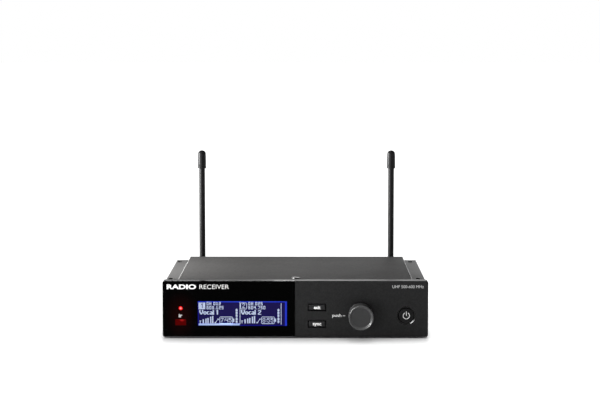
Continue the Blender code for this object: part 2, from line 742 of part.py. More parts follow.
def bnc_jack(letter, x):
    """Antenna jack: a flanged body through the panel and a bayonet barrel outside it."""
    wall = BNC_BARREL_RADIUS - BNC_BARREL_WALL
    inner_end = barrel_front + 2 * MM
    socket = PLUG_PIN_RADIUS + RUN_GAP
    core_rear = barrel_rear - 1.5 * MM
    shoulder = panel_inside - 5 * MM
    profile = [
        (0, shoulder - 5.5 * MM),
        (1 * MM, shoulder - 5.5 * MM),
        (1 * MM, shoulder - 2 * MM),
        (BNC_THREAD_RADIUS - 0.7 * MM, shoulder - 2 * MM),
        (BNC_THREAD_RADIUS - 0.7 * MM, shoulder),
        (BNC_THREAD_RADIUS, shoulder),
        (BNC_THREAD_RADIUS, seat_rear),
        (BNC_FLANGE_RADIUS, seat_rear),
        (BNC_FLANGE_RADIUS, barrel_front),
        (BNC_BARREL_RADIUS, barrel_front),
        (BNC_BARREL_RADIUS, barrel_rear),
        (wall, barrel_rear),
        (wall, inner_end),
        (BNC_CORE_RADIUS, inner_end),
        (BNC_CORE_RADIUS, core_rear),
        (socket, core_rear),
        (socket, inner_end + 0.6 * MM),
        (0, inner_end + 0.6 * MM),
    ]
    jack = add_piece(f"bnc_jack_{letter}", turned(profile, "Y", (x, connector_z), 20), NICKEL)
    lug_y = barrel_front + BNC_BARREL / 2
    near = BNC_BARREL_RADIUS - BNC_BARREL_WALL / 2
    far = BNC_BARREL_RADIUS + BNC_LUG_REACH
    lugs = [
        rod(BNC_LUG_RADIUS, "Z", (x, lug_y), connector_z + low, connector_z + high, 8)
        for low, high in ((near, far), (-far, -near))
    ]
    fuse(jack, "lugs", together(*lugs))
    bore = BNC_THREAD_RADIUS + GAP
    nut = panel_inside - GAP - BNC_NUT, panel_inside - GAP
    hexagon = prism(arc((x, connector_z), bore + 1.7 * MM, 0, 300, 5), "Y", *nut)
    piece = add_piece(f"bnc_nut_{letter}", hexagon, NICKEL)
    cut(piece, "bore", rod(bore, "Y", (x, connector_z), nut[0] - 1 * MM, nut[1] + 1 * MM, 20))


def xlr_output(number, x):
    """Male panel connector: a flanged shell around an insert with three pins."""
    centre = (x, connector_z)
    flange_rear_y = seat_rear + XLR_FLANGE_THICK
    across = around(x, xlr_flange[0])
    up = around(connector_z, xlr_flange[1])
    plate = prism(rounded(across, up, (3 * MM,) * 4, 3), "Y", seat_rear, flange_rear_y)
    shell = add_piece(f"xlr_shell_{number}", plate, STEEL)
    tube_front = panel_inside - XLR_DEPTH
    fuse(shell, "tube", rod(XLR_RADIUS, "Y", centre, tube_front, seat_rear + XLR_FLANGE_THICK / 2, 28))
    inside = XLR_RADIUS - XLR_WALL
    cut(shell, "inside", rod(inside, "Y", centre, tube_front - 1 * MM, flange_rear_y + 1 * MM, 28))
    corner = (xlr_flange[0] / 2 - 3.2 * MM, xlr_flange[1] / 2 - 3.2 * MM)
    y = (seat_rear - 1 * MM, flange_rear_y + 1 * MM)
    screws = [
        rod(1.6 * MM, "Y", (x + side * corner[0], connector_z + side * corner[1]), *y, steps=10)
        for side in (-1, 1)
    ]
    cut(shell, "screw_holes", together(*screws))

    insert_front = tube_front + 1 * MM
    insert_rear = insert_front + XLR_INSERT
    core = rod(inside - RUN_GAP, "Y", centre, insert_front, insert_rear, 24)
    insert = add_piece(f"xlr_insert_{number}", core, MATTE_PLASTIC)
    pins = []
    for angle in (210, 270, 330):
        turn = math.radians(angle)
        place = (x + XLR_PIN_CIRCLE * math.cos(turn), connector_z + XLR_PIN_CIRCLE * math.sin(turn))
        pins.append(rod(XLR_PIN_RADIUS, "Y", place, insert_front + 1 * MM, insert_rear + XLR_PIN, 10))
    fuse(insert, "pins", together(*pins))


def phone_output(number, x):
    """Quarter-inch jack: a body behind the panel, a threaded nose and its nut."""
    centre = (x, connector_z)
    width, height, depth = PHONE_BODY
    rear = panel_inside - GAP
    body = block(around(x, width), (rear - depth, rear), around(connector_z, height))
    jack = add_piece(f"phone_jack_{number}", body, MATTE_PLASTIC)
    nose = BODY_DEPTH - SHEET + PHONE_THREAD
    fuse(jack, "nose", rod(PHONE_THREAD_RADIUS, "Y", centre, rear - 1 * MM, nose, 24))
    cut(jack, "bore", rod(PHONE_BORE, "Y", centre, rear - depth + 2 * MM, nose + 1 * MM, 24))
    y = (seat_rear, seat_rear + PHONE_NUT)
    hexagon = prism(arc(centre, PHONE_NUT_RADIUS, 30, 330, 5), "Y", *y)
    nut = add_piece(f"phone_nut_{number}", hexagon, NICKEL)
    bore = rod(PHONE_THREAD_RADIUS + GAP, "Y", centre, y[0] - 1 * MM, y[1] + 1 * MM, 24)
    cut(nut, "bore", bore)


def ethernet_jack(x):
    width, height, depth = ETHERNET_SIZE
    rear = BODY_DEPTH + ETHERNET_PROUD
    shell = block(around(x, width), (rear - depth, rear), around(connector_z, height))
    jack = add_piece("ethernet_jack", shell, NICKEL)
    wide, tall, deep = ETHERNET_SOCKET
    socket = block(around(x, wide), (rear - deep, rear + 1 * MM), around(connector_z, tall))
    cut(jack, "socket", socket)


def dc_jack(x):
    centre = (x, connector_z)
    width, height, depth = DC_BODY
    inside = panel_inside - GAP
    rear = BODY_DEPTH + DC_PROUD
    body = block(around(x, width), (inside - depth, inside), around(connector_z, height))
    jack = add_piece("dc_jack", body, MATTE_PLASTIC)
    fuse(jack, "barrel", rod(DC_BARREL_RADIUS, "Y", centre, inside - 1 * MM, rear, 24))
    bottom = inside - depth / 2
    cut(jack, "bore", rod(DC_BORE, "Y", centre, bottom, rear + 1 * MM, 20))
    fuse(jack, "pin", rod(DC_PIN_RADIUS, "Y", centre, bottom - 1 * MM, rear - 1.5 * MM, 10))


def rear_panel(connectors):
    z = (tray_floor + GAP, cover_under - GAP)
    plate = block((-panel_half, panel_half), (panel_inside, BODY_DEPTH), z)
    panel = add_piece("rear_panel", plate, STEEL_PAINT)
    y = (panel_inside - 1 * MM, BODY_DEPTH + 1 * MM)
    bores = {
        "xlr": XLR_RADIUS + GAP,
        "phone": PHONE_THREAD_RADIUS + GAP,
        "dc": DC_BARREL_RADIUS + GAP,
    }
    holes = [rod(BNC_THREAD_RADIUS + GAP, "Y", (x, connector_z), *y, steps=20) for x in (-bnc_x, bnc_x)]
    for kind, x in connectors:
        if kind in bores:
            holes.append(rod(bores[kind], "Y", (x, connector_z), *y, steps=24))
        else:
            width, height = (size + 2 * GAP for size in ETHERNET_SIZE[:2])
            holes.append(block(around(x, width), y, around(connector_z, height)))
    cut(panel, "holes", together(*holes))


def connector_row():
    """The connectors between the antenna jacks, left to right, with equal air between them."""
    widths = {
        "phone": 2 * PHONE_NUT_RADIUS,
        "xlr": xlr_flange[0],
        "ethernet": ETHERNET_SIZE[0],
        "dc": DC_BODY[0],
    }
    order = ["phone", "xlr", "phone", "xlr", "ethernet", "dc"]
    start = -(bnc_x - BNC_FLANGE_RADIUS)
    air = (-2 * start - sum(widths[kind] for kind in order)) / (len(order) + 1)
    places = []
    for kind in order:
        start += air + widths[kind] / 2
        places.append((kind, start))
        start += widths[kind] / 2
    return places


def rear_connectors():
    places = connector_row()
    rear_panel(places)
    numbers = {"phone": 2, "xlr": 2}
    for kind, x in places:
        if kind == "phone":
            phone_output(numbers[kind], x)
            numbers[kind] -= 1
        elif kind == "xlr":
            xlr_output(numbers[kind], x)
            numbers[kind] -= 1
        elif kind == "ethernet":
            ethernet_jack(x)
        else:
            dc_jack(x)
            dc_capacitor(x)
    bnc_jack("a", -bnc_x)
    bnc_jack("b", bnc_x)


def antenna_collar(letter, x):
    """The bayonet ring that locks an antenna on its jack."""
    inside = BNC_BARREL_RADIUS + BNC_LUG_REACH + RUN_GAP
    outside = inside + COLLAR_WALL
    front = barrel_front + 3 * RUN_GAP
    hole = NECK_RADIUS + RUN_GAP
    profile = [
        (inside, front),
        (outside, front),
        (outside, collar_rear - 0.6 * MM),
        (outside - 0.6 * MM, collar_rear),
        (hole, collar_rear),
        (hole, neck_front),
        (inside, neck_front),
    ]
    origin = (x, hinge_y, connector_z)
    add_piece(f"antenna_collar_{letter}", turned(profile, "Y", (x, connector_z), 24), NICKEL, origin)


def antenna_knuckle(letter, x):
    """The plug inside the jack, with the fork that carries the whip."""
    sleeve = BNC_BARREL_RADIUS - BNC_BARREL_WALL - RUN_GAP
    inside = sleeve - PLUG_WALL
    tip = barrel_front + 2 * MM + 2 * GAP
    pocket = barrel_rear - 0.8 * MM
    fork_rear = fork_front + FORK_BASE
    profile = [
        (0, tip + 0.8 * MM),
        (PLUG_PIN_RADIUS, tip + 0.8 * MM),
        (PLUG_PIN_RADIUS, pocket),
        (inside, pocket),
        (inside, tip),
        (sleeve, tip),
        (sleeve, neck_front),
        (NECK_RADIUS, neck_front),
        (NECK_RADIUS, fork_front),
        (FORK_BASE_RADIUS, fork_front),
        (FORK_BASE_RADIUS, fork_rear),
        (0, fork_rear),
    ]
    origin = (x, hinge_y, connector_z)
    plug = turned(profile, "Y", (x, connector_z), 20)
    knuckle = add_piece(f"antenna_knuckle_{letter}", plug, MATTE_PLASTIC, origin)
    cheek = arc((hinge_y, connector_z), CHEEK_RADIUS, -90, 90, 8)
    base_y = fork_rear - FORK_BASE / 2
    cheek += [(base_y, connector_z + CHEEK_RADIUS), (base_y, connector_z - CHEEK_RADIUS)]
    near = TONGUE_WIDTH / 2 + RUN_GAP
    far = near + CHEEK_THICK
    cheeks = [prism(cheek, "X", x + low, x + high) for low, high in ((near, far), (-far, -near))]
    fuse(knuckle, "cheeks", together(*cheeks))
    reach = far + 1 * MM
    bore = HINGE_PIN_RADIUS + GAP
    cut(knuckle, "pin_hole", rod(bore, "X", (hinge_y, connector_z), x - reach, x + reach, 16))
    pin = rod(HINGE_PIN_RADIUS, "X", (hinge_y, connector_z), x - far, x + far, 16)
    add_piece(f"antenna_pin_{letter}", pin, STEEL, origin)


def antenna_whip(letter, x):
    """The whip with its ferrule and the tongue that turns on the hinge pin."""
    centre = (x, hinge_y)
    ferrule = [connector_z + height for height in FERRULE]
    top = connector_z + WHIP_LENGTH
    cap_base = top - CAP_LENGTH
    whip_top = top - CAP_CROWN - 2 * MM
    profile = [
        (0, ferrule[0]),
        (FERRULE_RADIUS, ferrule[0]),
        (FERRULE_RADIUS, ferrule[1] - 1 * MM),
        (WHIP_RADIUS, ferrule[1]),
        (WHIP_RADIUS, whip_top),
        (0, whip_top),
    ]
    origin = (x, hinge_y, connector_z)
    whip = add_piece(f"antenna_whip_{letter}", turned(profile, "Z", centre, 20), RUBBER, origin)
    neck = TONGUE_RADIUS * math.sin(math.radians(45))
    outline = arc((hinge_y, connector_z), TONGUE_RADIUS, 135, 405, 12)
    outline += [(hinge_y + neck, ferrule[0] + 1 * MM), (hinge_y - neck, ferrule[0] + 1 * MM)]
    fuse(whip, "tongue", prism(outline, "X", *around(x, TONGUE_WIDTH)))
    bore = HINGE_PIN_RADIUS + GAP
    cut(whip, "pin_hole", rod(bore, "X", (hinge_y, connector_z), *around(x, 2 * TONGUE_WIDTH), steps=16))

    crown_base = top - CAP_CROWN
    crown = arc((0, 0), CAP_TOP_RADIUS, 0, 75, 5)
    rise = CAP_CROWN / (CAP_TOP_RADIUS * math.sin(math.radians(75)))
    bore = WHIP_RADIUS + GAP
    shell = [(0, whip_top + GAP), (bore, whip_top + GAP), (bore, cap_base), (CAP_RADIUS, cap_base)]
    shell += [(radius, crown_base + height * rise) for radius, height in crown]
    shell += [(0, top)]
    add_piece(f"antenna_cap_{letter}", turned(shell, "Z", centre, 20), RUBBER, origin)


def build():
    for item in list(bpy.data.objects):
        bpy.data.objects.remove(item)
    parent = bpy.data.objects.new("receiver", None)
    parent.location = (0, -middle_y, 0)
    bpy.context.scene.collection.objects.link(parent)

    front_bezel()
    display_window()
    lcd_module()
    status_led()
    infrared_port()
    menu_button("exit_button", EXIT_Z)
    menu_button("sync_button", SYNC_Z)
    power_button()
    tact_switch("exit_switch", MENU_X, EXIT_Z)
    tact_switch("sync_switch", MENU_X, SYNC_Z)
    tact_switch("power_switch", power_x, POWER_Z)
    front_board()
    control_knob()
    encoder()
    chassis_tray()
    top_cover()
    front_crossbar()
    cover_screw()
    side_rail("left_side_rail", -1, RAIL_HOLE_INSETS[0])
    side_rail("right_side_rail", 1, RAIL_HOLE_INSETS[1])
    rubber_feet()
    main_board()
    rf_shield("rf_shield_a", -1)
    rf_shield("rf_shield_b", 1)
    ribbon_cable()
    rear_connectors()
    for letter, x in (("a", -bnc_x), ("b", bnc_x)):
        antenna_collar(letter, x)
        antenna_knuckle(letter, x)
        antenna_whip(letter, x)


build()
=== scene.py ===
# Half-rack wireless receiver with two whip antennas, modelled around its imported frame.
# Shapes are drawn in millimetres, with Y measured back from the front face, and are placed
# in the frame at the end. X runs to the right seen from the front and Z up.

import math

import bmesh
import bpy
from mathutils import Matrix, Vector


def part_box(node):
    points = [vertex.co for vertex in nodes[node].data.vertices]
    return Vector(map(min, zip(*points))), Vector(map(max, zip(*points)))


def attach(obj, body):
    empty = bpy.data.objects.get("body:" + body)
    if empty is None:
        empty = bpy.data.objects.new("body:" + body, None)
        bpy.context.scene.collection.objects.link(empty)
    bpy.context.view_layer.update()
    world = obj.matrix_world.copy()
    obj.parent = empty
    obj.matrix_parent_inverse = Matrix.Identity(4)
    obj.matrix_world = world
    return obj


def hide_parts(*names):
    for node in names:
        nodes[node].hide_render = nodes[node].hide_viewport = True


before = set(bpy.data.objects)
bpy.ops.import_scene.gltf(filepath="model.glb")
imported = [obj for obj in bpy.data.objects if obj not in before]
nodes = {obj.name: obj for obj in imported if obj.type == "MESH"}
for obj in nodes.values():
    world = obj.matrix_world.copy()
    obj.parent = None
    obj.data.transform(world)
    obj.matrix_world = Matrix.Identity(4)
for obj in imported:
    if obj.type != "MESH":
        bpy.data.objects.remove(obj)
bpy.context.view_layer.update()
mm = 0.001
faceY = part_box("front_bezel")[0].y / mm
print("Frame loaded,", len(nodes), "nodes")


def limits(node):
    low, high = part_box(node)
    back = (0, faceY, 0)
    return [(low[i] / mm - back[i], high[i] / mm - back[i]) for i in range(3)]


def middle(node):
    x, y, z = limits(node)
    return sum(x) / 2, sum(z) / 2


def slab(x, y, z):
    bm = bmesh.new()
    bmesh.ops.create_cube(bm, size=1.0)
    bmesh.ops.scale(bm, vec=(x[1] - x[0], y[1] - y[0], z[1] - z[0]), verts=bm.verts)
    centre = Vector((sum(x), sum(y), sum(z))) / 2
    bmesh.ops.translate(bm, vec=centre, verts=bm.verts)
    return bm


def about(centre, size):
    return centre - size / 2, centre + size / 2


def softenEdges(bm, width, chosen, segments=3):
    edges = [edge for edge in bm.edges if chosen(edge)]
    bmesh.ops.bevel(
        bm, geom=edges, offset=width, segments=segments, profile=0.5, affect="EDGES", material=-1
    )


def runsAlong(axis, inside=lambda point: True):
    index = "XYZ".index(axis)

    def test(edge):
        run = edge.verts[1].co - edge.verts[0].co
        centre = (edge.verts[0].co + edge.verts[1].co) / 2
        return abs(run[index]) > 0.99 * run.length and inside(centre)

    return test


def liesAt(axis, place):
    index = "XYZ".index(axis)
    return lambda edge: all(abs(vert.co[index] - place) < 0.01 for vert in edge.verts)


def lathe(profile, axis, centre, steps=64):
    # Points are (radius, place along the axis); a profile that leaves the axis makes a ring.
    bm = bmesh.new()
    index = "XYZ".index(axis)
    direction, side = Vector(), Vector()
    direction[index] = 1
    side[(index + 1) % 3] = 1
    base = list(centre)
    base.insert(index, 0)
    base = Vector(base)
    chain = [bm.verts.new(base + side * radius + direction * along) for radius, along in profile]
    edges = [bm.edges.new(pair) for pair in zip(chain, chain[1:])]
    if profile[0][0] or profile[-1][0]:
        edges.append(bm.edges.new((chain[-1], chain[0])))
    bmesh.ops.spin(
        bm, geom=chain + edges, cent=base, axis=direction, angle=math.tau, steps=steps, use_merge=True
    )
    bmesh.ops.remove_doubles(bm, verts=bm.verts, dist=0.001)
    bmesh.ops.recalc_face_normals(bm, faces=bm.faces)
    return bm


def rod(radius, axis, centre, low, high, steps=48, edge=0.0):
    if edge:
        profile = [(0, low), (radius - edge, low), (radius, low + edge)]
        profile += [(radius, high - edge), (radius - edge, high), (0, high)]
    else:
        profile = [(0, low), (radius, low), (radius, high), (0, high)]
    return lathe(profile, axis, centre, steps)


def curveOf(centre, radius, start, end, steps):
    turns = [math.radians(start + (end - start) * i / steps) for i in range(steps + 1)]
    return [(centre[0] + radius * math.cos(a), centre[1] + radius * math.sin(a)) for a in turns]


def joined(*shapes):
    whole = bmesh.new()
    for shape in shapes:
        mesh = bpy.data.meshes.new("shape")
        shape.to_mesh(mesh)
        shape.free()
        whole.from_mesh(mesh)
        bpy.data.meshes.remove(mesh)
    return whole


def withBoolean(bm, tool, operation):
    holders = []
    for shape in (bm, tool):
        mesh = bpy.data.meshes.new("shape")
        bmesh.ops.recalc_face_normals(shape, faces=shape.faces)
        shape.to_mesh(mesh)
        shape.free()
        holder = bpy.data.objects.new("shape", mesh)
        bpy.context.scene.collection.objects.link(holder)
        holders.append(holder)
    step = holders[0].modifiers.new("step", "BOOLEAN")
    step.operation = operation
    step.solver = "EXACT"
    step.object = holders[1]
    graph = bpy.context.evaluated_depsgraph_get()
    result = bmesh.new()
    result.from_mesh(holders[0].evaluated_get(graph).to_mesh())
    for holder in holders:
        mesh = holder.data
        bpy.data.objects.remove(holder)
        bpy.data.meshes.remove(mesh)
    bmesh.ops.remove_doubles(result, verts=result.verts, dist=0.0005)
    return result


def carve(bm, *tools):
    return withBoolean(bm, joined(*tools), "DIFFERENCE")


def weld(bm, *parts):
    for part in parts:
        bm = withBoolean(bm, part, "UNION")
    return bm


def flaredHole(x, z, front, rear, flare):
    # A square cutter whose mouth opens at 45 degrees in front of the given depth.
    bm = slab(x, (front, rear), z)
    mouth = [face for face in bm.faces if face.normal.y < -0.9]
    made = bmesh.ops.extrude_face_region(bm, geom=mouth)
    moved = [item for item in made["geom"] if isinstance(item, bmesh.types.BMVert)]
    bmesh.ops.delete(bm, geom=mouth, context="FACES_ONLY")
    grow = ((x[1] - x[0] + 2 * flare) / (x[1] - x[0]), 1, (z[1] - z[0] + 2 * flare) / (z[1] - z[0]))
    centre = Vector((sum(x) / 2, front, sum(z) / 2))
    bmesh.ops.scale(bm, vec=grow, space=Matrix.Translation(-centre), verts=moved)
    bmesh.ops.translate(bm, vec=(0, -flare, 0), verts=moved)
    bmesh.ops.recalc_face_normals(bm, faces=bm.faces)
    return bm


def addPiece(name, bm, material, body, replaces=(), sharp=32, second=None):
    bmesh.ops.recalc_face_normals(bm, faces=bm.faces)
    bmesh.ops.scale(bm, vec=(mm, mm, mm), verts=bm.verts)
    bmesh.ops.translate(bm, vec=(0, faceY * mm, 0), verts=bm.verts)
    mesh = bpy.data.meshes.new(name)
    bm.to_mesh(mesh)
    bm.free()
    mesh.materials.append(material)
    if second:
        mesh.materials.append(second)
    mesh.shade_smooth()
    mesh.set_sharp_from_angle(angle=math.radians(sharp))
    piece = bpy.data.objects.new(name, mesh)
    bpy.context.scene.collection.objects.link(piece)
    even = piece.modifiers.new("evenShading", "WEIGHTED_NORMAL")
    even.weight = 100
    even.keep_sharp = True
    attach(piece, body)
    if replaces:
        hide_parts(*replaces)
    return piece


def startGroup(name, inputs, outputs):
    tree = bpy.data.node_groups.new(name, "ShaderNodeTree")
    for label, kind, value in inputs:
        socket = tree.interface.new_socket(label, in_out="INPUT", socket_type=kind)
        socket.default_value = value
    for label, kind in outputs:
        tree.interface.new_socket(label, in_out="OUTPUT", socket_type=kind)
    return tree, tree.nodes.new("NodeGroupInput"), tree.nodes.new("NodeGroupOutput")


def addNode(tree, kind, values=None, **settings):
    node = tree.nodes.new(kind)
    for label, value in settings.items():
        setattr(node, label, value)
    for socket, value in (values or {}).items():
        node.inputs[socket].default_value = value
    return node


def wire(tree, start, end):
    tree.links.new(start, end)


def mathNode(tree, operation, first, second):
    node = addNode(tree, "ShaderNodeMath", operation=operation)
    for index, item in enumerate((first, second)):
        if isinstance(item, (int, float)):
            node.inputs[index].default_value = item
        else:
            wire(tree, item, node.inputs[index])
    return node.outputs[0]


def makeMouldedGrain():
    # Fine spark-eroded or powder-coat texture: a height for the bump and a faint fleck.
    tree, start, end = startGroup(
        "mouldedGrain",
        [
            ("Fine", "NodeSocketFloat", 2600.0),
            ("Coarse", "NodeSocketFloat", 900.0),
            ("Fleck", "NodeSocketFloat", 0.5),
        ],
        [("Height", "NodeSocketFloat"), ("Tone", "NodeSocketFloat")],
    )
    place = addNode(tree, "ShaderNodeTexCoord")
    fine = addNode(tree, "ShaderNodeTexNoise", {"Detail": 2.0, "Roughness": 0.55})
    coarse = addNode(tree, "ShaderNodeTexNoise", {"Detail": 3.0, "Roughness": 0.6})
    cells = addNode(tree, "ShaderNodeTexVoronoi", feature="SMOOTH_F1")
    for node, label in ((fine, "Fine"), (coarse, "Coarse"), (cells, "Fine")):
        wire(tree, place.outputs["Object"], node.inputs["Vector"])
        wire(tree, start.outputs[label], node.inputs["Scale"])
    rough = mathNode(tree, "MULTIPLY", fine.outputs["Fac"], 0.6)
    pits = mathNode(tree, "MULTIPLY", cells.outputs["Distance"], 0.4)
    wire(tree, mathNode(tree, "ADD", rough, pits), end.inputs["Height"])
    away = mathNode(tree, "SUBTRACT", coarse.outputs["Fac"], 0.5)
    scaled = mathNode(tree, "MULTIPLY", away, start.outputs["Fleck"])
    wire(tree, mathNode(tree, "ADD", scaled, 1.0), end.inputs["Tone"])
    return tree


def makeToneDrift():
    # Slow change of brightness over a surface, multiplied with the fleck.
    tree, start, end = startGroup(
        "toneDrift",
        [
            ("Color", "NodeSocketColor", (0.5, 0.5, 0.5, 1)),
            ("Tone", "NodeSocketFloat", 1.0),
            ("Scale", "NodeSocketFloat", 14.0),
            ("Amount", "NodeSocketFloat", 0.1),
        ],
        [("Color", "NodeSocketColor"), ("Wear", "NodeSocketFloat")],
    )
    place = addNode(tree, "ShaderNodeTexCoord")
    slow = addNode(tree, "ShaderNodeTexNoise", {"Detail": 4.0, "Roughness": 0.6})
    wire(tree, place.outputs["Object"], slow.inputs["Vector"])
    wire(tree, start.outputs["Scale"], slow.inputs["Scale"])
    away = mathNode(tree, "SUBTRACT", slow.outputs["Fac"], 0.5)
    drift = mathNode(tree, "MULTIPLY", away, start.outputs["Amount"])
    level = mathNode(tree, "MULTIPLY", mathNode(tree, "ADD", drift, 1.0), start.outputs["Tone"])
    shade = addNode(tree, "ShaderNodeVectorMath", operation="SCALE")
    wire(tree, start.outputs["Color"], shade.inputs[0])
    wire(tree, level, shade.inputs["Scale"])
    wire(tree, shade.outputs[0], end.inputs["Color"])
    wire(tree, slow.outputs["Fac"], end.inputs["Wear"])
    return tree


def makeBrushedMetal():
    # Fine lines drawn out along one direction, for brushed, drawn and plated metal.
    tree, start, end = startGroup(
        "brushedMetal",
        [
            ("Stretch", "NodeSocketVector", (1.0, 1.0, 30.0)),
            ("Scale", "NodeSocketFloat", 400.0),
        ],
        [("Height", "NodeSocketFloat"), ("Gloss", "NodeSocketFloat")],
    )
    place = addNode(tree, "ShaderNodeTexCoord")
    pull = addNode(tree, "ShaderNodeVectorMath", operation="MULTIPLY")
    wire(tree, place.outputs["Object"], pull.inputs[0])
    wire(tree, start.outputs["Stretch"], pull.inputs[1])
    lines = addNode(tree, "ShaderNodeTexNoise", {"Detail": 5.0, "Roughness": 0.65})
    wire(tree, pull.outputs[0], lines.inputs["Vector"])
    wire(tree, start.outputs["Scale"], lines.inputs["Scale"])
    wire(tree, lines.outputs["Fac"], end.inputs["Height"])
    marks = addNode(tree, "ShaderNodeTexNoise", {"Scale": 60.0, "Detail": 4.0})
    wire(tree, place.outputs["Object"], marks.inputs["Vector"])
    both = mathNode(tree, "ADD", lines.outputs["Fac"], marks.outputs["Fac"])
    wire(tree, mathNode(tree, "MULTIPLY", both, 0.5), end.inputs["Gloss"])
    return tree


mouldedGrain = makeMouldedGrain()
toneDrift = makeToneDrift()
brushedMetal = makeBrushedMetal()
print("Node groups made")


def newMaterial(name):
    material = bpy.data.materials.new(name)
    material.use_nodes = True
    tree = material.node_tree
    return material, tree, tree.nodes["Principled BSDF"]


def placeGroup(tree, group, **values):
    node = addNode(tree, "ShaderNodeGroup", node_tree=group)
    for label, value in values.items():
        node.inputs[label].default_value = value
    return node


def rangeOf(tree, source, low, high):
    node = addNode(tree, "ShaderNodeMapRange", {"To Min": low, "To Max": high})
    node.inputs["From Min"].default_value = 0.25
    node.inputs["From Max"].default_value = 0.75
    wire(tree, source, node.inputs["Value"])
    return node.outputs["Result"]


def grainedFinish(name, colour, roughness, depth, fine=2600.0, coarse=900.0, fleck=0.5,
                  drift=0.25, metallic=0.0, specular=0.5):
    material, tree, shader = newMaterial(name)
    grain = placeGroup(tree, mouldedGrain, Fine=fine, Coarse=coarse, Fleck=fleck)
    tone = placeGroup(tree, toneDrift, Color=(*colour, 1), Amount=drift)
    wire(tree, grain.outputs["Tone"], tone.inputs["Tone"])
    wire(tree, tone.outputs["Color"], shader.inputs["Base Color"])
    gloss = rangeOf(tree, tone.outputs["Wear"], roughness - 0.05, roughness + 0.05)
    wire(tree, gloss, shader.inputs["Roughness"])
    bump = addNode(tree, "ShaderNodeBump", {"Strength": 0.6, "Distance": depth * mm})
    wire(tree, grain.outputs["Height"], bump.inputs["Height"])
    wire(tree, bump.outputs["Normal"], shader.inputs["Normal"])
    shader.inputs["Metallic"].default_value = metallic
    shader.inputs["Specular IOR Level"].default_value = specular
    return material


def metalFinish(name, colour, gloss, stretch, scale=400.0, depth=0.01):
    material, tree, shader = newMaterial(name)
    lines = placeGroup(tree, brushedMetal, Stretch=stretch, Scale=scale)
    tone = placeGroup(tree, toneDrift, Color=(*colour, 1), Amount=0.2, Scale=60.0)
    wire(tree, tone.outputs["Color"], shader.inputs["Base Color"])
    wire(tree, rangeOf(tree, lines.outputs["Gloss"], *gloss), shader.inputs["Roughness"])
    bump = addNode(tree, "ShaderNodeBump", {"Strength": 0.4, "Distance": depth * mm})
    wire(tree, lines.outputs["Height"], bump.inputs["Height"])
    wire(tree, bump.outputs["Normal"], shader.inputs["Normal"])
    shader.inputs["Metallic"].default_value = 1.0
    return material


def printFinish(name, colour, glow):
    # Thick screen print with a faint painted glow, a touch brighter than light alone would make it.
    material = grainedFinish(name, colour, 0.5, 0.005, fleck=0.08, drift=0.05)
    shader = material.node_tree.nodes["Principled BSDF"]
    shader.inputs["Emission Color"].default_value = (*colour, 1)
    shader.inputs["Emission Strength"].default_value = glow
    return material


def litFinish(name, colour, level, centre, reach, core):
    # A lens or display layer that gives light, brightest at one point. The lamp and the display give
    # real light; on the infrared port and its rim this is painted glow.
    material, tree, shader = newMaterial(name)
    place = addNode(tree, "ShaderNodeTexCoord")
    away = addNode(tree, "ShaderNodeVectorMath", operation="DISTANCE")
    away.inputs[1].default_value = (centre[0] * mm, (centre[1] + faceY) * mm, centre[2] * mm)
    wire(tree, place.outputs["Object"], away.inputs[0])
    ramp = addNode(tree, "ShaderNodeValToRGB")
    ramp.color_ramp.elements[0].color = (*core, 1)
    ramp.color_ramp.elements[1].color = (*colour, 1)
    wire(tree, mathNode(tree, "DIVIDE", away.outputs["Value"], reach * mm), ramp.inputs["Fac"])
    wire(tree, ramp.outputs["Color"], shader.inputs["Emission Color"])
    shader.inputs["Emission Strength"].default_value = level
    shader.inputs["Base Color"].default_value = (*colour, 1)
    shader.inputs["Roughness"].default_value = 0.3
    shader.inputs["Specular IOR Level"].default_value = 0.0
    return material


def smokedAcrylic():
    material, tree, shader = newMaterial("smokedAcrylic")
    tone = placeGroup(tree, toneDrift, Color=(0.86, 0.86, 0.88, 1), Amount=0.03, Scale=25.0)
    wire(tree, tone.outputs["Color"], shader.inputs["Base Color"])
    wire(tree, rangeOf(tree, tone.outputs["Wear"], 0.0, 0.02), shader.inputs["Roughness"])
    shader.inputs["IOR"].default_value = 1.45
    shader.inputs["Transmission Weight"].default_value = 1.0
    return material


def windowInkWithPaintedGlow(lamp, port):
    # Black print behind the acrylic, with a painted trace of red light around the lamp and the port.
    material, tree, shader = newMaterial("windowInkWithPaintedGlow")
    grain = placeGroup(tree, mouldedGrain, Fleck=0.3)
    tone = placeGroup(tree, toneDrift, Color=(0.0025, 0.0025, 0.003, 1), Amount=0.3)
    wire(tree, grain.outputs["Tone"], tone.inputs["Tone"])
    wire(tree, tone.outputs["Color"], shader.inputs["Base Color"])
    place = addNode(tree, "ShaderNodeTexCoord")
    glow = 0.0
    for x, z, reach in (lamp, port):
        away = addNode(tree, "ShaderNodeVectorMath", operation="DISTANCE")
        away.inputs[1].default_value = (x * mm, (inkDepth[0] + faceY) * mm, z * mm)
        wire(tree, place.outputs["Object"], away.inputs[0])
        fade = addNode(tree, "ShaderNodeMapRange", interpolation_type="SMOOTHERSTEP")
        fade.inputs["From Max"].default_value = reach * mm
        fade.inputs["To Min"].default_value = 1.0
        fade.inputs["To Max"].default_value = 0.0
        wire(tree, away.outputs["Value"], fade.inputs["Value"])
        glow = mathNode(tree, "ADD", fade.outputs["Result"], glow)
    red = addNode(tree, "ShaderNodeVectorMath", operation="SCALE")
    red.inputs[0].default_value = (1.0, 0.04, 0.03)
    wire(tree, glow, red.inputs["Scale"])
    wire(tree, red.outputs[0], shader.inputs["Emission Color"])
    shader.inputs["Emission Strength"].default_value = 0.006
    shader.inputs["Roughness"].default_value = 0.6
    shader.inputs["Specular IOR Level"].default_value = 0.0
    return material


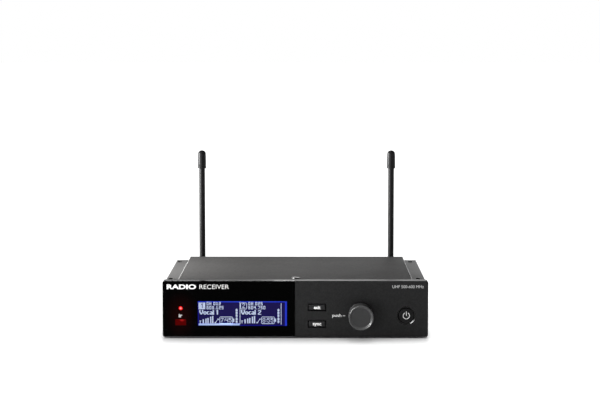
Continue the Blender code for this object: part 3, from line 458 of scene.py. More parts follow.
def circuitGreen():
    # Solder mask over tracks, with the copper showing through as paler lines.
    material, tree, shader = newMaterial("circuitGreen")
    place = addNode(tree, "ShaderNodeTexCoord")
    tracks = addNode(tree, "ShaderNodeTexBrick", {"Scale": 130.0, "Mortar Size": 0.03})
    tracks.inputs["Color1"].default_value = (0.012, 0.085, 0.03, 1)
    tracks.inputs["Color2"].default_value = (0.016, 0.11, 0.04, 1)
    tracks.inputs["Mortar"].default_value = (0.05, 0.24, 0.09, 1)
    wire(tree, place.outputs["Object"], tracks.inputs["Vector"])
    tone = placeGroup(tree, toneDrift, Amount=0.3, Scale=80.0)
    wire(tree, tracks.outputs["Color"], tone.inputs["Color"])
    wire(tree, tone.outputs["Color"], shader.inputs["Base Color"])
    wire(tree, rangeOf(tree, tone.outputs["Wear"], 0.3, 0.5), shader.inputs["Roughness"])
    bump = addNode(tree, "ShaderNodeBump", {"Strength": 0.3, "Distance": 0.05 * mm})
    wire(tree, tracks.outputs["Fac"], bump.inputs["Height"])
    wire(tree, bump.outputs["Normal"], shader.inputs["Normal"])
    return material


inkDepth = (2.04, 2.1)  # front and back of the print behind the window
lampAt = (*middle("status_led"), 16.0)  # x, z, and how far its painted red glow reaches on the print
portAt = (*middle("ir_window"), 15.0)

facePlastic = grainedFinish(
    "facePlastic", (0.0235, 0.0235, 0.024), 0.5, 0.05, fleck=1.3, specular=0.3
)
buttonPlastic = grainedFinish("buttonPlastic", (0.016, 0.016, 0.0165), 0.32, 0.012, fleck=0.4)
knobPlastic = grainedFinish("knobPlastic", (0.03, 0.03, 0.0305), 0.32, 0.012, fleck=0.4)
innerPlastic = grainedFinish("innerPlastic", (0.014, 0.014, 0.015), 0.5, 0.03)
whitePlastic = grainedFinish("whitePlastic", (0.72, 0.72, 0.7), 0.4, 0.02, fleck=0.1, drift=0.06)
sleevePlastic = grainedFinish("sleevePlastic", (0.02, 0.03, 0.08), 0.35, 0.01, drift=0.15)
powderCoat = grainedFinish(
    "powderCoat", (0.045, 0.044, 0.043), 0.6, 0.09, fine=1900.0, coarse=650.0, fleck=1.7,
    specular=0.15,
)
# Lighter, glossier coat for the cover's bends: the lighter colour is a painted highlight.
bendPaintedHighlight = grainedFinish("bendPaintedHighlight", (0.17, 0.168, 0.165), 0.25, 0.01, fine=1900.0, fleck=0.4)
edgeShine = grainedFinish("edgeShine", (0.02, 0.02, 0.02), 0.36, 0.005, fleck=0.4)
# Lighter, glossier finish for the knob's rim: the lighter colour is a painted highlight.
rimPaintedSheen = grainedFinish("rimPaintedSheen", (0.05, 0.05, 0.0505), 0.24, 0.005, fleck=0.4, specular=1.0)
polishedBlack = grainedFinish("polishedBlack", (0.012, 0.012, 0.012), 0.12, 0.0, fleck=0.2)
# Near-black for the sheets that paint shade into the rail holes.
paintedHoleShade = grainedFinish("paintedHoleShade", (0.002, 0.002, 0.002), 0.7, 0.02, specular=0.1)
railCoat = grainedFinish("railCoat", (0.054, 0.053, 0.052), 0.5, 0.07, fine=1900.0, fleck=1.0)
antennaRubber = grainedFinish("antennaRubber", (0.022, 0.022, 0.0225), 0.4, 0.03, fleck=0.5)
footRubber = grainedFinish("footRubber", (0.018, 0.018, 0.018), 0.75, 0.08, fleck=0.6)
legendWhite = printFinish("legendWhite", (0.9, 0.9, 0.89), 0.28)
legendGrey = printFinish("legendGrey", (0.55, 0.55, 0.55), 0.2)
brightNickel = metalFinish("brightNickel", (0.66, 0.64, 0.6), (0.16, 0.34), (1, 12, 1))
bareSteel = metalFinish("bareSteel", (0.5, 0.5, 0.51), (0.22, 0.42), (20, 1, 1))
screwSteel = metalFinish("screwSteel", (0.3, 0.295, 0.29), (0.2, 0.4), (6, 6, 1), 900.0)
blackScrew = grainedFinish("blackScrew", (0.03, 0.03, 0.03), 0.35, 0.01, metallic=0.6)
contactGold = metalFinish("contactGold", (0.85, 0.6, 0.25), (0.15, 0.3), (1, 10, 1))
clearAcrylic = smokedAcrylic()
inkBlackWithPaintedGlow = windowInkWithPaintedGlow(lampAt, portAt)
boardGreen = circuitGreen()
lampRed = litFinish(
    "lampRed", (1.0, 0.008, 0.006), 1.4, (lampAt[0], 2.5, lampAt[1]), 1.1, (1.0, 0.45, 0.45)
)
# The infrared port gives no light: its faint red glow, and the bright spot near its top, a reflection
# of the status lamp, are painted.
portPaintedGlint = (lampAt[0] + 1.0, 2.6, portAt[1] + 2.4)
portPaintedGlow = litFinish("portPaintedGlow", (0.1, 0.0, 0.0), 1.0, portPaintedGlint, 2.2, (0.75, 0.02, 0.02))
print("Materials made")


keptPieces = {
    "chassis_tray": powderCoat,
    "front_crossbar": bareSteel,
    "front_board": boardGreen,
    "main_board": boardGreen,
    "rf_shield_a": brightNickel,
    "rf_shield_b": brightNickel,
    "ribbon_cable": whitePlastic,
    "dc_capacitor": sleevePlastic,
    "bnc_nut_a": brightNickel,
    "bnc_nut_b": brightNickel,
    "exit_switch": innerPlastic,
    "sync_switch": innerPlastic,
    "power_switch": innerPlastic,
    "encoder_body": bareSteel,
    "encoder_shaft": bareSteel,
    "encoder_plunger": bareSteel,
    "backlight_tray": whitePlastic,
    "light_guide": whitePlastic,
    "ir_receiver": innerPlastic,
}
for name, material in keptPieces.items():
    for holder in nodes[name].material_slots:
        holder.material = material
print("Kept pieces finished")


def letteringMesh(words, weight):
    curve = bpy.data.curves.new("legend", "FONT")
    curve.body = words
    curve.offset = weight
    curve.extrude = 0.5
    curve.resolution_u = 5
    holder = bpy.data.objects.new("legend", curve)
    bpy.context.scene.collection.objects.link(holder)
    graph = bpy.context.evaluated_depsgraph_get()
    bm = bmesh.new()
    bm.from_mesh(holder.evaluated_get(graph).to_mesh())
    bpy.data.objects.remove(holder)
    bpy.data.curves.remove(curve)
    bmesh.ops.remove_doubles(bm, verts=bm.verts, dist=0.00001)
    return bm


def reachOf(bm, index):
    places = [vert.co[index] for vert in bm.verts]
    return min(places), max(places)


capital = letteringMesh("H", 0.0)
capitalHeight = reachOf(capital, 1)[1]
capital.free()


inkThickness = 0.03


def lettering(words, x, base, capHeight, front, width=None, weight=0.0, facing=-1):
    # Print that stands just proud of the surface; x is its middle, front the surface.
    bm = letteringMesh(words, weight)
    tall = capHeight / capitalHeight
    low, high = reachOf(bm, 0)
    wide = width / (high - low) if width else tall
    bmesh.ops.translate(bm, vec=(-(low + high) / 2, 0, 0), verts=bm.verts)
    bmesh.ops.scale(bm, vec=(wide, tall, inkThickness), verts=bm.verts)
    turn = Matrix.Rotation(math.radians(90), 3, "X")
    if facing > 0:
        turn = Matrix.Rotation(math.radians(180), 3, "Z") @ turn
    bmesh.ops.rotate(bm, matrix=turn, cent=(0, 0, 0), verts=bm.verts)
    bmesh.ops.translate(bm, vec=(x, front + facing * inkThickness / 2, base), verts=bm.verts)
    return bm


bezelShape = {
    "corner": 1.7,
    "frontEdge": 0.3,
    "seamEdge": 0.3,
    "wall": 2.0,
    "faceWall": 2.5,
    "seatDepth": 2.3,
    "backing": 4.3,
    "endWall": 1.2,
    "mouth": 0.25,
    "powerMouth": 1.0,
    "powerGap": 0.6,
    "rearEdge": 0.3,
    "displayMargin": 1.6,
    "portMargin": 0.4,
    "lampHole": 1.9,
    "shaftHole": 4.8,
    "shine": 0.35,  # reach of the shinier finish on each side of the seam
}
faceX, faceDepth, faceZ = limits("front_bezel")
windowX, windowDepth, windowZ = limits("display_window")
seamX = windowX[1] + 0.15
lcdX, lcdDepth, lcdZ = limits("lcd_glass")
litInset = 1.0
litX = (lcdX[0] + litInset, lcdX[1] - litInset)
litZ = (lcdZ[0] + litInset, lcdZ[1] - litInset)
portSize = (8.3, 4.7)
portX, portZ = about(portAt[0], portSize[0]), about(portAt[1], portSize[1])
knobX, knobZ = middle("control_knob")
powerX, powerZ = middle("power_button")
keySize = {"menu": (11.9, 3.9), "groove": 0.75, "power": 5.5}  # width and height, and radius


def wider(span, margin):
    return span[0] - margin, span[1] + margin


def roundedFace(bm, corners, corner, frontEdge, front):
    softenEdges(bm, corner, corners, 8)
    softenEdges(bm, frontEdge, liesAt("Y", front), 4)


def makeBezel():
    shape = bezelShape
    shell = slab((-faceX[1], faceX[1]), (0, faceDepth[1]), faceZ)
    roundedFace(shell, runsAlong("Y"), shape["corner"], shape["frontEdge"], 0)
    softenEdges(shell, shape["rearEdge"], liesAt("Y", faceDepth[1]), 2)
    side = faceX[1] - shape["wall"]
    inside = (faceZ[0] + shape["wall"], faceZ[1] - shape["wall"])
    rear = faceDepth[1] - shape["endWall"]
    seat = slab((faceX[0] - 1, seamX), (-1, shape["seatDepth"]), (0, faceZ[1] + 1))
    shell = carve(shell, seat)
    seam = runsAlong("Z", lambda point: point.y < 0.1 and abs(point.x - seamX) < 0.05)
    softenEdges(shell, shape["seamEdge"], seam, 2)
    shell = carve(shell, slab((seamX + 2, side), (shape["faceWall"], rear), inside))
    shell = carve(shell, slab((-side, seamX + 2.1), (shape["backing"], rear + 0.01), inside))
    cover = limits("top_cover")[0]
    shell = carve(shell, slab(cover, (rear - 0.1, rear + 4), inside))
    display, port = shape["displayMargin"], shape["portMargin"]
    holes = [
        slab(wider(litX, display), (-1, 6), wider(litZ, display)),
        slab(wider(portX, port), (-1, 6), wider(portZ, port)),
        rod(shape["lampHole"], "Y", lampAt[:2], -1, 6),
        rod(shape["shaftHole"], "Y", (knobX, knobZ), -1, 4),
    ]
    for node in ("exit_button", "sync_button"):
        x, z = middle(node)
        wide, tall = (
            about(c, size + 2 * keySize["groove"]) for c, size in zip((x, z), keySize["menu"])
        )
        holes.append(flaredHole(wide, tall, shape["mouth"], 4, 2 * shape["mouth"]))
    hole = keySize["power"] + shape["powerGap"]
    mouth = shape["powerMouth"]
    profile = [(0, -mouth), (hole + 2 * mouth, -mouth), (hole, mouth), (hole, 4), (0, 4)]
    holes.append(lathe(profile, "Y", (powerX, powerZ), 96))
    shell = carve(shell, *holes)
    for face in shell.faces:
        spot = face.calc_center_median()
        atSeam = abs(spot.x - seamX) < shape["shine"] and spot.y < shape["shine"]
        onTop = face.normal.z > 0.95 and spot.z > faceZ[1] - 0.05
        face.material_index = 1 if atSeam or onTop else 0
    addPiece(
        "bezel", shell, facePlastic, "housing", ["front_bezel"], second=edgeShine
    )


makeBezel()
print("Bezel made")


windowShape = {"corner": 1.7, "frontEdge": 0.12, "inkEdge": 0.35, "lampHole": 1.5, "portCorner": 0.5}


def makeWindow():
    shape = windowShape
    plate = slab(windowX, windowDepth, windowZ)
    left = runsAlong("Y", lambda point: point.x < windowX[0] + 1)
    roundedFace(plate, left, shape["corner"], shape["frontEdge"], 0)
    addPiece("window", plate, clearAcrylic, "housing", ["display_window"])

    edge = shape["inkEdge"]
    ink = slab(wider(windowX, -edge), inkDepth, wider(windowZ, -edge))
    softenEdges(ink, shape["corner"] - edge, left, 8)
    port = slab(portX, (1, 3), portZ)
    softenEdges(port, shape["portCorner"], runsAlong("Y"), 4)
    lamp = rod(shape["lampHole"], "Y", lampAt[:2], 1, 3)
    openings = [slab(litX, (1, 3), litZ), port, lamp]
    addPiece("windowPrint", carve(ink, *openings), inkBlackWithPaintedGlow, "housing")


makeWindow()
print("Window made")

displayShape = {
    "columns": 132,
    "dot": 0.44,
    "dotThickness": 0.04,
    "field": (2.52, 2.59),  # front and back of each layer
    "glow": (2.46, 2.51),
    "dots": (2.4, 2.44),
    "brightTop": 0.8,
    "brightSide": 1.4,
    "dimSide": 0.55,
    "dimFoot": 0.5,
    "bar": (0.6, 31.0),  # from and to, along the foot of the first channel
    "barHeight": (0.35, 1.75),
}
smallGlyphs = {
    "0": "###|#.#|#.#|#.#|###",
    "1": ".#.|##.|.#.|.#.|###",
    "2": "###|..#|###|#..|###",
    "4": "#.#|#.#|###|..#|..#",
    "5": "###|#..|###|..#|###",
    "6": "###|#..|###|#.#|###",
    "7": "###|..#|..#|.#.|.#.",
    "G": "###|#..|#.#|#.#|###",
    "H": "#.#|#.#|###|#.#|#.#",
    ".": ".|.|.|.|#",
    " ": ".|.|.|.|.",
}
largeGlyphs = {
    "1": ".#|##|.#|.#|.#|.#|.#",
    "2": ".##.|#..#|...#|..#.|.#..|#...|####",
    "4": "#..#|#..#|#..#|####|...#|...#|...#",
    "5": "####|#...|###.|...#|...#|#..#|.##.",
    "7": "####|...#|..#.|..#.|.#..|.#..|.#..",
    "8": ".##.|#..#|#..#|.##.|#..#|#..#|.##.",
    ":": ".|.|#|.|#|.|.",
    "V": "#...#|#...#|#...#|#...#|.#.#.|.#.#.|..#..",
    "o": "....|....|.##.|#..#|#..#|#..#|.##.",
    "c": "...|...|.##|#..|#..|#..|.##",
    "a": "....|....|.##.|...#|.###|#..#|.###",
    "l": "#|#|#|#|#|#|#",
    " ": "..|..|..|..|..|..|..",
}


def drawBlock(dots, x, y):
    dots.update((i, j) for i in range(x[0], x[1] + 1) for j in range(y[0], y[1] + 1))


def drawFrame(dots, x, y):
    drawBlock(dots, x, (y[0], y[0]))
    drawBlock(dots, x, (y[1], y[1]))
    drawBlock(dots, (x[0], x[0]), y)
    drawBlock(dots, (x[1], x[1]), y)
    for corner in ((x[0], y[0]), (x[0], y[1]), (x[1], y[0]), (x[1], y[1])):
        dots.discard(corner)


def drawText(dots, glyphs, words, x, y, lit=True):
    for letter in words:
        rows = glyphs[letter].split("|")
        for j, row in enumerate(rows):
            for i, mark in enumerate(row):
                if mark == "#":
                    (dots.add if lit else dots.discard)((x + i, y + j))
        x += len(rows[0]) + 1


def drawChannel(dots, x, number, lines, name, left):
    # One channel's half of the display, from its number down to its time left.
    if number == "1":
        drawBlock(dots, (x + 1, x + 10), (2, 11))
    else:
        drawFrame(dots, (x + 1, x + 10), (2, 11))
    drawText(dots, largeGlyphs, number, x + (5 if number == "1" else 4), 3, number != "1")
    drawText(dots, smallGlyphs, lines[0], x + 13, 1)
    drawText(dots, smallGlyphs, lines[1], x + 13, 7)
    for shift in (0, 1):  # the name is two dots thick
        drawText(dots, largeGlyphs, name, x + 2 + shift, 13)
    drawBlock(dots, (x + 2, x + 4), (29, 29))
    drawBlock(dots, (x + 3, x + 3), (29, 32))
    for i, top in enumerate((27, 26, 25, 23, 22)):
        column = x + 7 + round(3.6 * i)
        drawBlock(dots, (column, column + 1), (top, 32))
    drawBlock(dots, (x + 25, x + 26), (31, 32))
    drawBlock(dots, (x + 29, x + 30), (26, 27))
    drawBlock(dots, (x + 28, x + 28), (28, 28))
    drawBlock(dots, (x + 27, x + 27), (29, 30))
    drawFrame(dots, (x + 32, x + 51), (23, 33))
    drawBlock(dots, (x + 52, x + 53), (26, 30))
    drawText(dots, largeGlyphs, left, x + 34, 25)
    for row in (12, 16, 20, 25, 29):
        drawBlock(dots, (x + 56, x + 58), (row, row + 2))
        drawBlock(dots, (x + 57, x + 57), (row - 1, row + 3))


def makeDisplay():
    shape = displayShape
    panel = slab(lcdX, lcdDepth, lcdZ)
    softenEdges(panel, 0.2, lambda edge: True, 2)
    addPiece("displayGlass", panel, innerPlastic, "housing", ["lcd_glass"])
    field = slab(litX, shape["field"], litZ)
    indigo = litFinish(
        "displayIndigo", (0.012, 0.008, 0.075), 1.0, (-40, 2.5, 18), 40, (0.0145, 0.011, 0.088)
    )
    addPiece("displayField", field, indigo, "housing")

    y = shape["glow"]
    edgeX, edgeZ = litX[1] - shape["brightSide"], litZ[1] - shape["brightTop"]
    gap = 0.01
    strips = [
        slab(litX, y, (edgeZ, litZ[1])),
        slab((edgeX, litX[1]), y, (litZ[0], edgeZ - gap)),
    ]
    blue = litFinish("displayEdge", (0.02, 0.04, 0.62), 1.0, (-40, 2.5, 27), 45, (0.03, 0.07, 0.75))
    addPiece("displayEdgeBright", joined(*strips), blue, "housing")
    barStart, barEnd = (litX[0] + place for place in shape["bar"])
    strips = [
        slab((litX[0], litX[0] + shape["dimSide"]), y, (litZ[0], edgeZ - gap)),
        slab((barEnd, edgeX - gap), y, (litZ[0], litZ[0] + shape["dimFoot"])),
    ]
    dim = litFinish(
        "displayEdgeDim", (0.006, 0.006, 0.22), 1.0, (-60, 2.5, 9), 60, (0.008, 0.01, 0.3)
    )
    addPiece("displayEdgeDeep", joined(*strips), dim, "housing")

    dots = set()
    drawChannel(dots, 0, "1", ("GH 012", "600.125"), "Vocal 1", "7:45")
    drawBlock(dots, (62, 62), (1, 33))
    drawChannel(dots, 62, "2", ("GH 025", "604.750"), "Vocal 2", "8:55")
    drawBlock(dots, (123, 123), (3, 34))
    pitch = (litX[1] - litX[0]) / shape["columns"]
    whole = bmesh.new()
    spans = {}
    for i, j in dots:
        spans.setdefault(j, []).append(i)
    for row, columns in sorted(spans.items()):
        z = litZ[1] - (row + 0.5) * pitch
        for column in sorted(columns):
            x = litX[0] + (column + 0.5) * pitch
            place = Matrix.Translation((x, sum(shape["dots"]) / 2, z))
            size = Matrix.Diagonal((shape["dot"], shape["dotThickness"], shape["dot"], 1))
            bmesh.ops.create_cube(whole, size=1.0, matrix=place @ size)
    white = litFinish("displayDots", (0.66, 0.76, 1.0), 1.0, (-40, 2.4, 18), 45, (0.74, 0.84, 1.0))
    addPiece("displayDots", whole, white, "housing")
    low, high = (litZ[0] + place for place in shape["barHeight"])
    bar = slab((barStart, barEnd), shape["dots"], (low, high))
    pale = litFinish("displayBar", (0.42, 0.55, 1.0), 1.0, (-57, 2.4, 10), 20, (0.55, 0.68, 1.0))
    addPiece("displayBar", bar, pale, "housing")


makeDisplay()
print("Display made")

lampShape = {
    "radius": 1.5,
    "flange": 1.9,
    "flangeDepth": (6.3, 7.5),
    "leads": 0.75,
    "portFlange": 1.0,
    "rim": 0.3,
    "rimDepth": (2.13, 2.2),
}


def makeLamps():
    shape = lampShape
    radius = shape["radius"]
    tip, rear = limits("status_led")[1]
    near, far = shape["flangeDepth"]
    leads = shape["leads"]
    dome = [(r, tip + radius - rise) for r, rise in curveOf((0, 0), radius, 90, 0, 8)]
    dome[0] = (0, tip)
    profile = dome + [(radius, near), (shape["flange"], near), (shape["flange"], far)]
    profile += [(leads, far), (leads, rear), (0, rear)]
    lamp = lathe(profile, "Y", lampAt[:2], 48)
    addPiece("statusLamp", lamp, lampRed, "housing", ["status_led"])

    y = limits("ir_window")[1]
    lens = slab(portX, (y[0], 5.0), portZ)
    softenEdges(lens, windowShape["portCorner"], runsAlong("Y"), 4)
    softenEdges(lens, 0.3, liesAt("Y", y[0]), 3)
    margin = shape["portFlange"]
    flange = slab(wider(portX, margin), (4.7, y[1]), wider(portZ, margin))
    lens = weld(lens, flange)
    addPiece("infraredPort", lens, portPaintedGlow, "housing", ["ir_window"])
    # The rim round the infrared port gets a painted red glow; it gives no light of its own.
    rim = slab(portX, shape["rimDepth"], portZ)
    hole = slab(wider(portX, -shape["rim"]), (2, 3), wider(portZ, -shape["rim"]))
    rimPaintedGlow = litFinish(
        "portRimPaintedGlow", (0.05, 0.001, 0.001), 1.0, (-85, 2.6, 14), 4, (0.2, 0.004, 0.004)
    )
    addPiece("infraredRim", carve(rim, hole), rimPaintedGlow, "housing")


makeLamps()
print("Lamps made")


buttonShape = {
    "corner": 0.6,
    "frontEdge": 0.45,
    "flange": 1.5,
    "flangeDepth": 1.4,
    "capHeight": 2.3,
    "weight": 0.03,
}


def makeMenuButton(name, node, body, word, width, base):
    shape = buttonShape
    x, z = middle(node)
    depth = limits(node)[1]
    wide, tall = keySize["menu"]
    cap = slab(about(x, wide), (depth[0], depth[1] - 0.3), about(z, tall))
    roundedFace(cap, runsAlong("Y"), shape["corner"], shape["frontEdge"], depth[0])
    flange = slab(
        about(x, wide + 2 * shape["flange"]),
        (depth[1] - shape["flangeDepth"], depth[1]),
        about(z, tall + 2 * shape["flange"]),
    )
    addPiece(name, weld(cap, flange), buttonPlastic, body, [node])
    legend = lettering(word, x, base, shape["capHeight"], depth[0], width, shape["weight"])
    addPiece(name + "Legend", legend, legendWhite, body)


makeMenuButton("exitCap", "exit_button", "exit_key", "exit", 4.8, 22.15)
makeMenuButton("syncCap", "sync_button", "sync_key", "sync", 6.3, 9.95)

powerShape = {
    "ring": 2.35,
    "line": 0.38,
    "gap": 2.2,
    "bar": (-0.1, 3.2),
    "frontEdge": 0.55,
    "flange": 7.1,
    "flangeFront": 2.9,
}


def makePowerButton():
    shape = powerShape
    depth = limits("power_button")[1]
    radius, bend = keySize["power"], shape["frontEdge"]
    edge = curveOf((radius - bend, bend), bend, -90, 0, 5)
    wide, near = shape["flange"], shape["flangeFront"]
    profile = [(0, 0)] + edge + [(radius, near), (wide, near), (wide, depth[1]), (0, depth[1])]
    button = lathe(profile, "Y", (powerX, powerZ), 96)
    addPiece("powerCap", button, buttonPlastic, "power_key", ["power_button"])

    near, far = shape["ring"] - shape["line"] / 2, shape["ring"] + shape["line"] / 2
    ring = rod(far, "Y", (powerX, powerZ), -inkThickness, 0, 96)
    gap = slab(about(powerX, shape["gap"]), (-1, 1), (powerZ + 1, powerZ + 4))
    ring = carve(ring, rod(near, "Y", (powerX, powerZ), -1, 1, 96))
    ring = carve(ring, gap)
    low, high = shape["bar"]
    bar = slab(about(powerX, shape["line"]), (-inkThickness, 0), (powerZ + low, powerZ + high))
    symbol = joined(ring, bar)
    addPiece("powerSymbol", symbol, legendWhite, "power_key")


makePowerButton()

trimShape = {"inner": 5.75, "outer": 6.75, "depth": (0.03, 0.9)}


def makePowerTrim():
    near, far = trimShape["depth"]
    inner, outer = trimShape["inner"], trimShape["outer"]
    profile = [(inner, far), (inner, far - 0.1), (outer - 0.2, near + 0.15), (outer, near)]
    profile += [(outer + 0.3, near + 0.02), (inner + 0.3, far + 0.2), (inner, far + 0.2)]
    trim = lathe(profile, "Y", (powerX, powerZ), 128)
    addPiece("powerTrim", trim, polishedBlack, "housing")


makePowerTrim()

knobShape = {
    "radius": 9.3,
    "face": 7.15,
    "rimTop": 8.45,
    "dish": 0.8,
    "rimEdge": 0.55,
    "groove": (1.6, 1.4, 1.1, 0.9),  # its steps, forwards from the rear edge
    "grooveDepth": 0.25,
    "bore": (3.3, -9.6),  # radius, and depth of its end
}


def makeKnob():
    shape = knobShape
    front, rear = limits("control_knob")[1]
    radius, face = shape["radius"], shape["face"]
    floor = front + shape["dish"]
    edge = shape["rimEdge"]
    outer = curveOf((radius - edge, front + edge), edge, -90, 0, 6)
    profile = [(0, floor), (face - 0.3, floor), (face, floor - 0.08)]
    profile += [(shape["rimTop"] - 0.12, front + 0.08), (shape["rimTop"], front)] + outer
    waist = radius - shape["grooveDepth"]
    profile += [(r, rear - step) for r, step in zip((radius, waist, waist, radius), shape["groove"])]
    bore, end = shape["bore"]
    profile += [(radius, rear - 0.4), (radius - 0.4, rear), (bore, rear), (bore, end), (0, end)]
    knob = lathe(profile, "Y", (knobX, knobZ), 128)
    # Rim faces take the second material: glossier, and lighter in colour as a painted highlight.
    for polygon in knob.faces:
        centre = polygon.calc_center_median()
        away = math.hypot(centre.x - knobX, centre.z - knobZ)
        if away > face and centre.y < front + shape["dish"]:
            polygon.material_index = 1
    addPiece(
        "controlKnob", knob, knobPlastic, "knob", ["control_knob"], second=rimPaintedSheen
    )


makeKnob()
print("Buttons and knob made")


faceLegends = [
    # words, middle, baseline, cap height, width, weight, surface, material
    ("RADIO", -84.4, 37.0, 3.2, 21.8, 0.04, "window", legendWhite),
    ("RECEIVER", -60.1, 37.0, 3.2, 21.8, -0.008, "window", legendWhite),
    ("ir", -85.2, 15.8, 2.6, 2.5, 0.02, "window", legendGrey),
    ("UHF 500-600 MHz", 83.5, 37.65, 2.2, 23.2, 0.0, "face", legendGrey),
    ("push", 30.75, 16.15, 2.3, 6.6, 0.0, "face", legendWhite),
]

dashPlace = ((35.2, 36.9), (16.7, 17.25))


def makeFaceLegends():
    for words, x, base, cap, width, weight, surface, material in faceLegends:
        name = "legend" + words.split()[0].capitalize()
        legend = lettering(words, x, base, cap, 0, width, weight)
        addPiece(name, legend, material, "housing")
    dash = slab(dashPlace[0], (-inkThickness, 0), dashPlace[1])
    addPiece("legendDash", dash, legendGrey, "housing")


makeFaceLegends()
print("Legends made")


coverShape = {
    "sheet": 1.0,
    "bend": 0.9,
    "rim": 0.15,
    "screwPlace": (0, 16.0),
    "screwHole": 1.9,
    "shine": (0.08, 0.97),  # how far up the bend faces look that get the glossier finish and a lighter colour, a painted highlight
}


def makeCover():
    shape = coverShape
    x, y, z = limits("top_cover")
    lid = slab(x, y, z)
    top = runsAlong("Y", lambda point: point.z > z[1] - 1)
    softenEdges(lid, shape["bend"], top, 10)
    sheet = shape["sheet"]
    inside = slab((x[0] + sheet, x[1] - sheet), (y[0] - 1, y[1] + 1), (z[0] - 1, z[1] - sheet))
    lid = carve(lid, inside)
    for end in y:
        softenEdges(lid, shape["rim"], liesAt("Y", end), 2)
    hole = rod(shape["screwHole"], "Z", shape["screwPlace"], z[1] - 3, z[1] + 1)
    lid = carve(lid, hole)
    # Outward-facing bend faces take the second material: glossier, and lighter in colour as a painted
    # highlight.
    least, most = shape["shine"]
    for face in lid.faces:
        outward = abs(face.calc_center_median().x) > x[1] - shape["bend"]
        if outward and least < face.normal.z < most:
            face.material_index = 1
    addPiece(
        "cover", lid, powderCoat, "housing", ["top_cover"], second=bendPaintedHighlight
    )


makeCover()


def crossRecess(x, y, z, reach, depth, width=0.55):
    # The tapered cross of a driver, cut down from z.
    arms = []
    for size in ((reach, width), (width, reach)):
        arm = slab(about(x, 2 * size[0]), about(y, 2 * size[1]), (z - depth, z + 1))
        low = [vert for vert in arm.verts if vert.co.z < z]
        bmesh.ops.scale(
            arm, vec=(0.5, 0.5, 1), space=Matrix.Translation((-x, -y, 0)), verts=low
        )
        arms.append(arm)
    return weld(*arms)


screwShape = {
    "seat": 42.74,
    "top": 43.4,
    "radius": 3.1,
    "headEdge": 0.5,
    "thread": 1.5,
    "recess": 1.7,
    "recessDepth": 0.7,
}


def makeCoverScrew():
    shape = screwShape
    low = limits("cover_screw")[2][0]
    seat, high, radius = shape["seat"], shape["top"], shape["radius"]
    edge, thread = shape["headEdge"], shape["thread"]
    place = coverShape["screwPlace"]
    head = curveOf((radius - edge, high - edge), edge, 0, 70, 6)
    profile = [(0, low), (0.6, low), (thread, low + 1), (thread, seat), (radius, seat)]
    profile += head + [(0, high)]
    screw = lathe(profile, "Z", place, 64)
    screw = carve(screw, crossRecess(*place, high, shape["recess"], shape["recessDepth"]))
    addPiece("coverScrew", screw, screwSteel, "housing", ["cover_screw"])


makeCoverScrew()

railShape = {
    "sheet": 1.2,
    "bend": 0.9,
    "edge": 0.22,
    "slot": (3.3, 6.4),  # width, and length along the rail
    "slotDepth": 1.6,
    "pilotHole": 0.55,
    "pitch": 2.8,
    "places": (34.0, 129.0),
    "lining": 0.12,
}


def slotShape(x, y, width, length, low, high):
    half = (length - width) / 2
    ends = [rod(width / 2, "Z", (x, y + side * half), low, high) for side in (-1, 1)]
    return weld(slab(about(x, width), about(y, 2 * half), (low, high)), *ends)


def makeRail(name, node, side, inset):
    shape = railShape
    x, y, z = limits(node)
    sheet = shape["sheet"]
    rail = slab(x, y, z)
    web = runsAlong("Y", lambda point: point.x * side < min(abs(x[0]), abs(x[1])) + 1)
    softenEdges(rail, shape["bend"], web, 5)
    hollow = (x[0] + sheet, x[1] + 1) if side > 0 else (x[0] - 1, x[1] - sheet)
    rail = carve(rail, slab(hollow, (y[0] - 1, y[1] + 1), (z[0] + sheet, z[1] - sheet)))
    outer = max(abs(x[0]), abs(x[1])) * side
    lip = runsAlong("Y", lambda point: abs(point.x - outer) < 0.01)
    softenEdges(rail, shape["edge"], lip, 3)
    holes = []
    screwX = outer - side * inset
    pilotX = screwX + shape["pitch"]
    width, length = shape["slot"]
    for place in shape["places"]:
        holes.append(slotShape(screwX, place, width, length, z[1] - 3, z[1] + 1))
        holes.append(rod(shape["pilotHole"], "Z", (pilotX, place), z[1] - 3, z[1] + 1, 24))
    rail = carve(rail, *holes)
    addPiece(name, rail, railCoat, "housing", [node])

    # Near-black linings close each hole off from the light inside the rail: painted shade standing in
    # for the dark inside the holes.
    shadeSheets = []
    wall = shape["lining"]
    top = z[1] - wall / 2
    low = top - shape["slotDepth"]
    for place in shape["places"]:
        lining = slotShape(screwX, place, width - 0.02, length - 0.02, low, top)
        inside = slotShape(screwX, place, width - 2 * wall, length - 2 * wall, low + wall, top + 1)
        shadeSheets.append(carve(lining, inside))
        radius = shape["pilotHole"]
        profile = [(0, low), (radius, low), (radius, top), (radius - wall, top)]
        profile += [(radius - wall, low + wall), (0, low + wall)]
        shadeSheets.append(lathe(profile, "Z", (pilotX, place), 32))
    addPiece(name + "Wells", joined(*shadeSheets), paintedHoleShade, "housing")


makeRail("railLeft", "left_side_rail", -1, 3.0)
makeRail("railRight", "right_side_rail", 1, 5.0)

footShape = {"radius": 6.0, "height": 2.2, "recess": 2.2, "recessDepth": 0.9, "edge": 0.7}


def makeFeet():
    radius, height, recess = footShape["radius"], footShape["height"], footShape["recess"]
    deep, bend = footShape["recessDepth"], footShape["edge"]
    for place in ("front_left", "front_right", "rear_left", "rear_right"):
        x, y = limits("foot_" + place)[:2]
        edge = curveOf((radius - bend, bend), bend, -90, 0, 5)
        profile = [(0, deep), (recess - 0.5, deep), (recess - 0.2, 0.2), (recess, 0)]
        profile += edge + [(radius, height), (0, height)]
        foot = lathe(profile, "Z", (sum(x) / 2, sum(y) / 2), 64)
        words = place.split("_")
        name = "foot" + words[0].capitalize() + words[1].capitalize()
        addPiece(name, foot, footRubber, "housing", ["foot_" + place])


makeFeet()


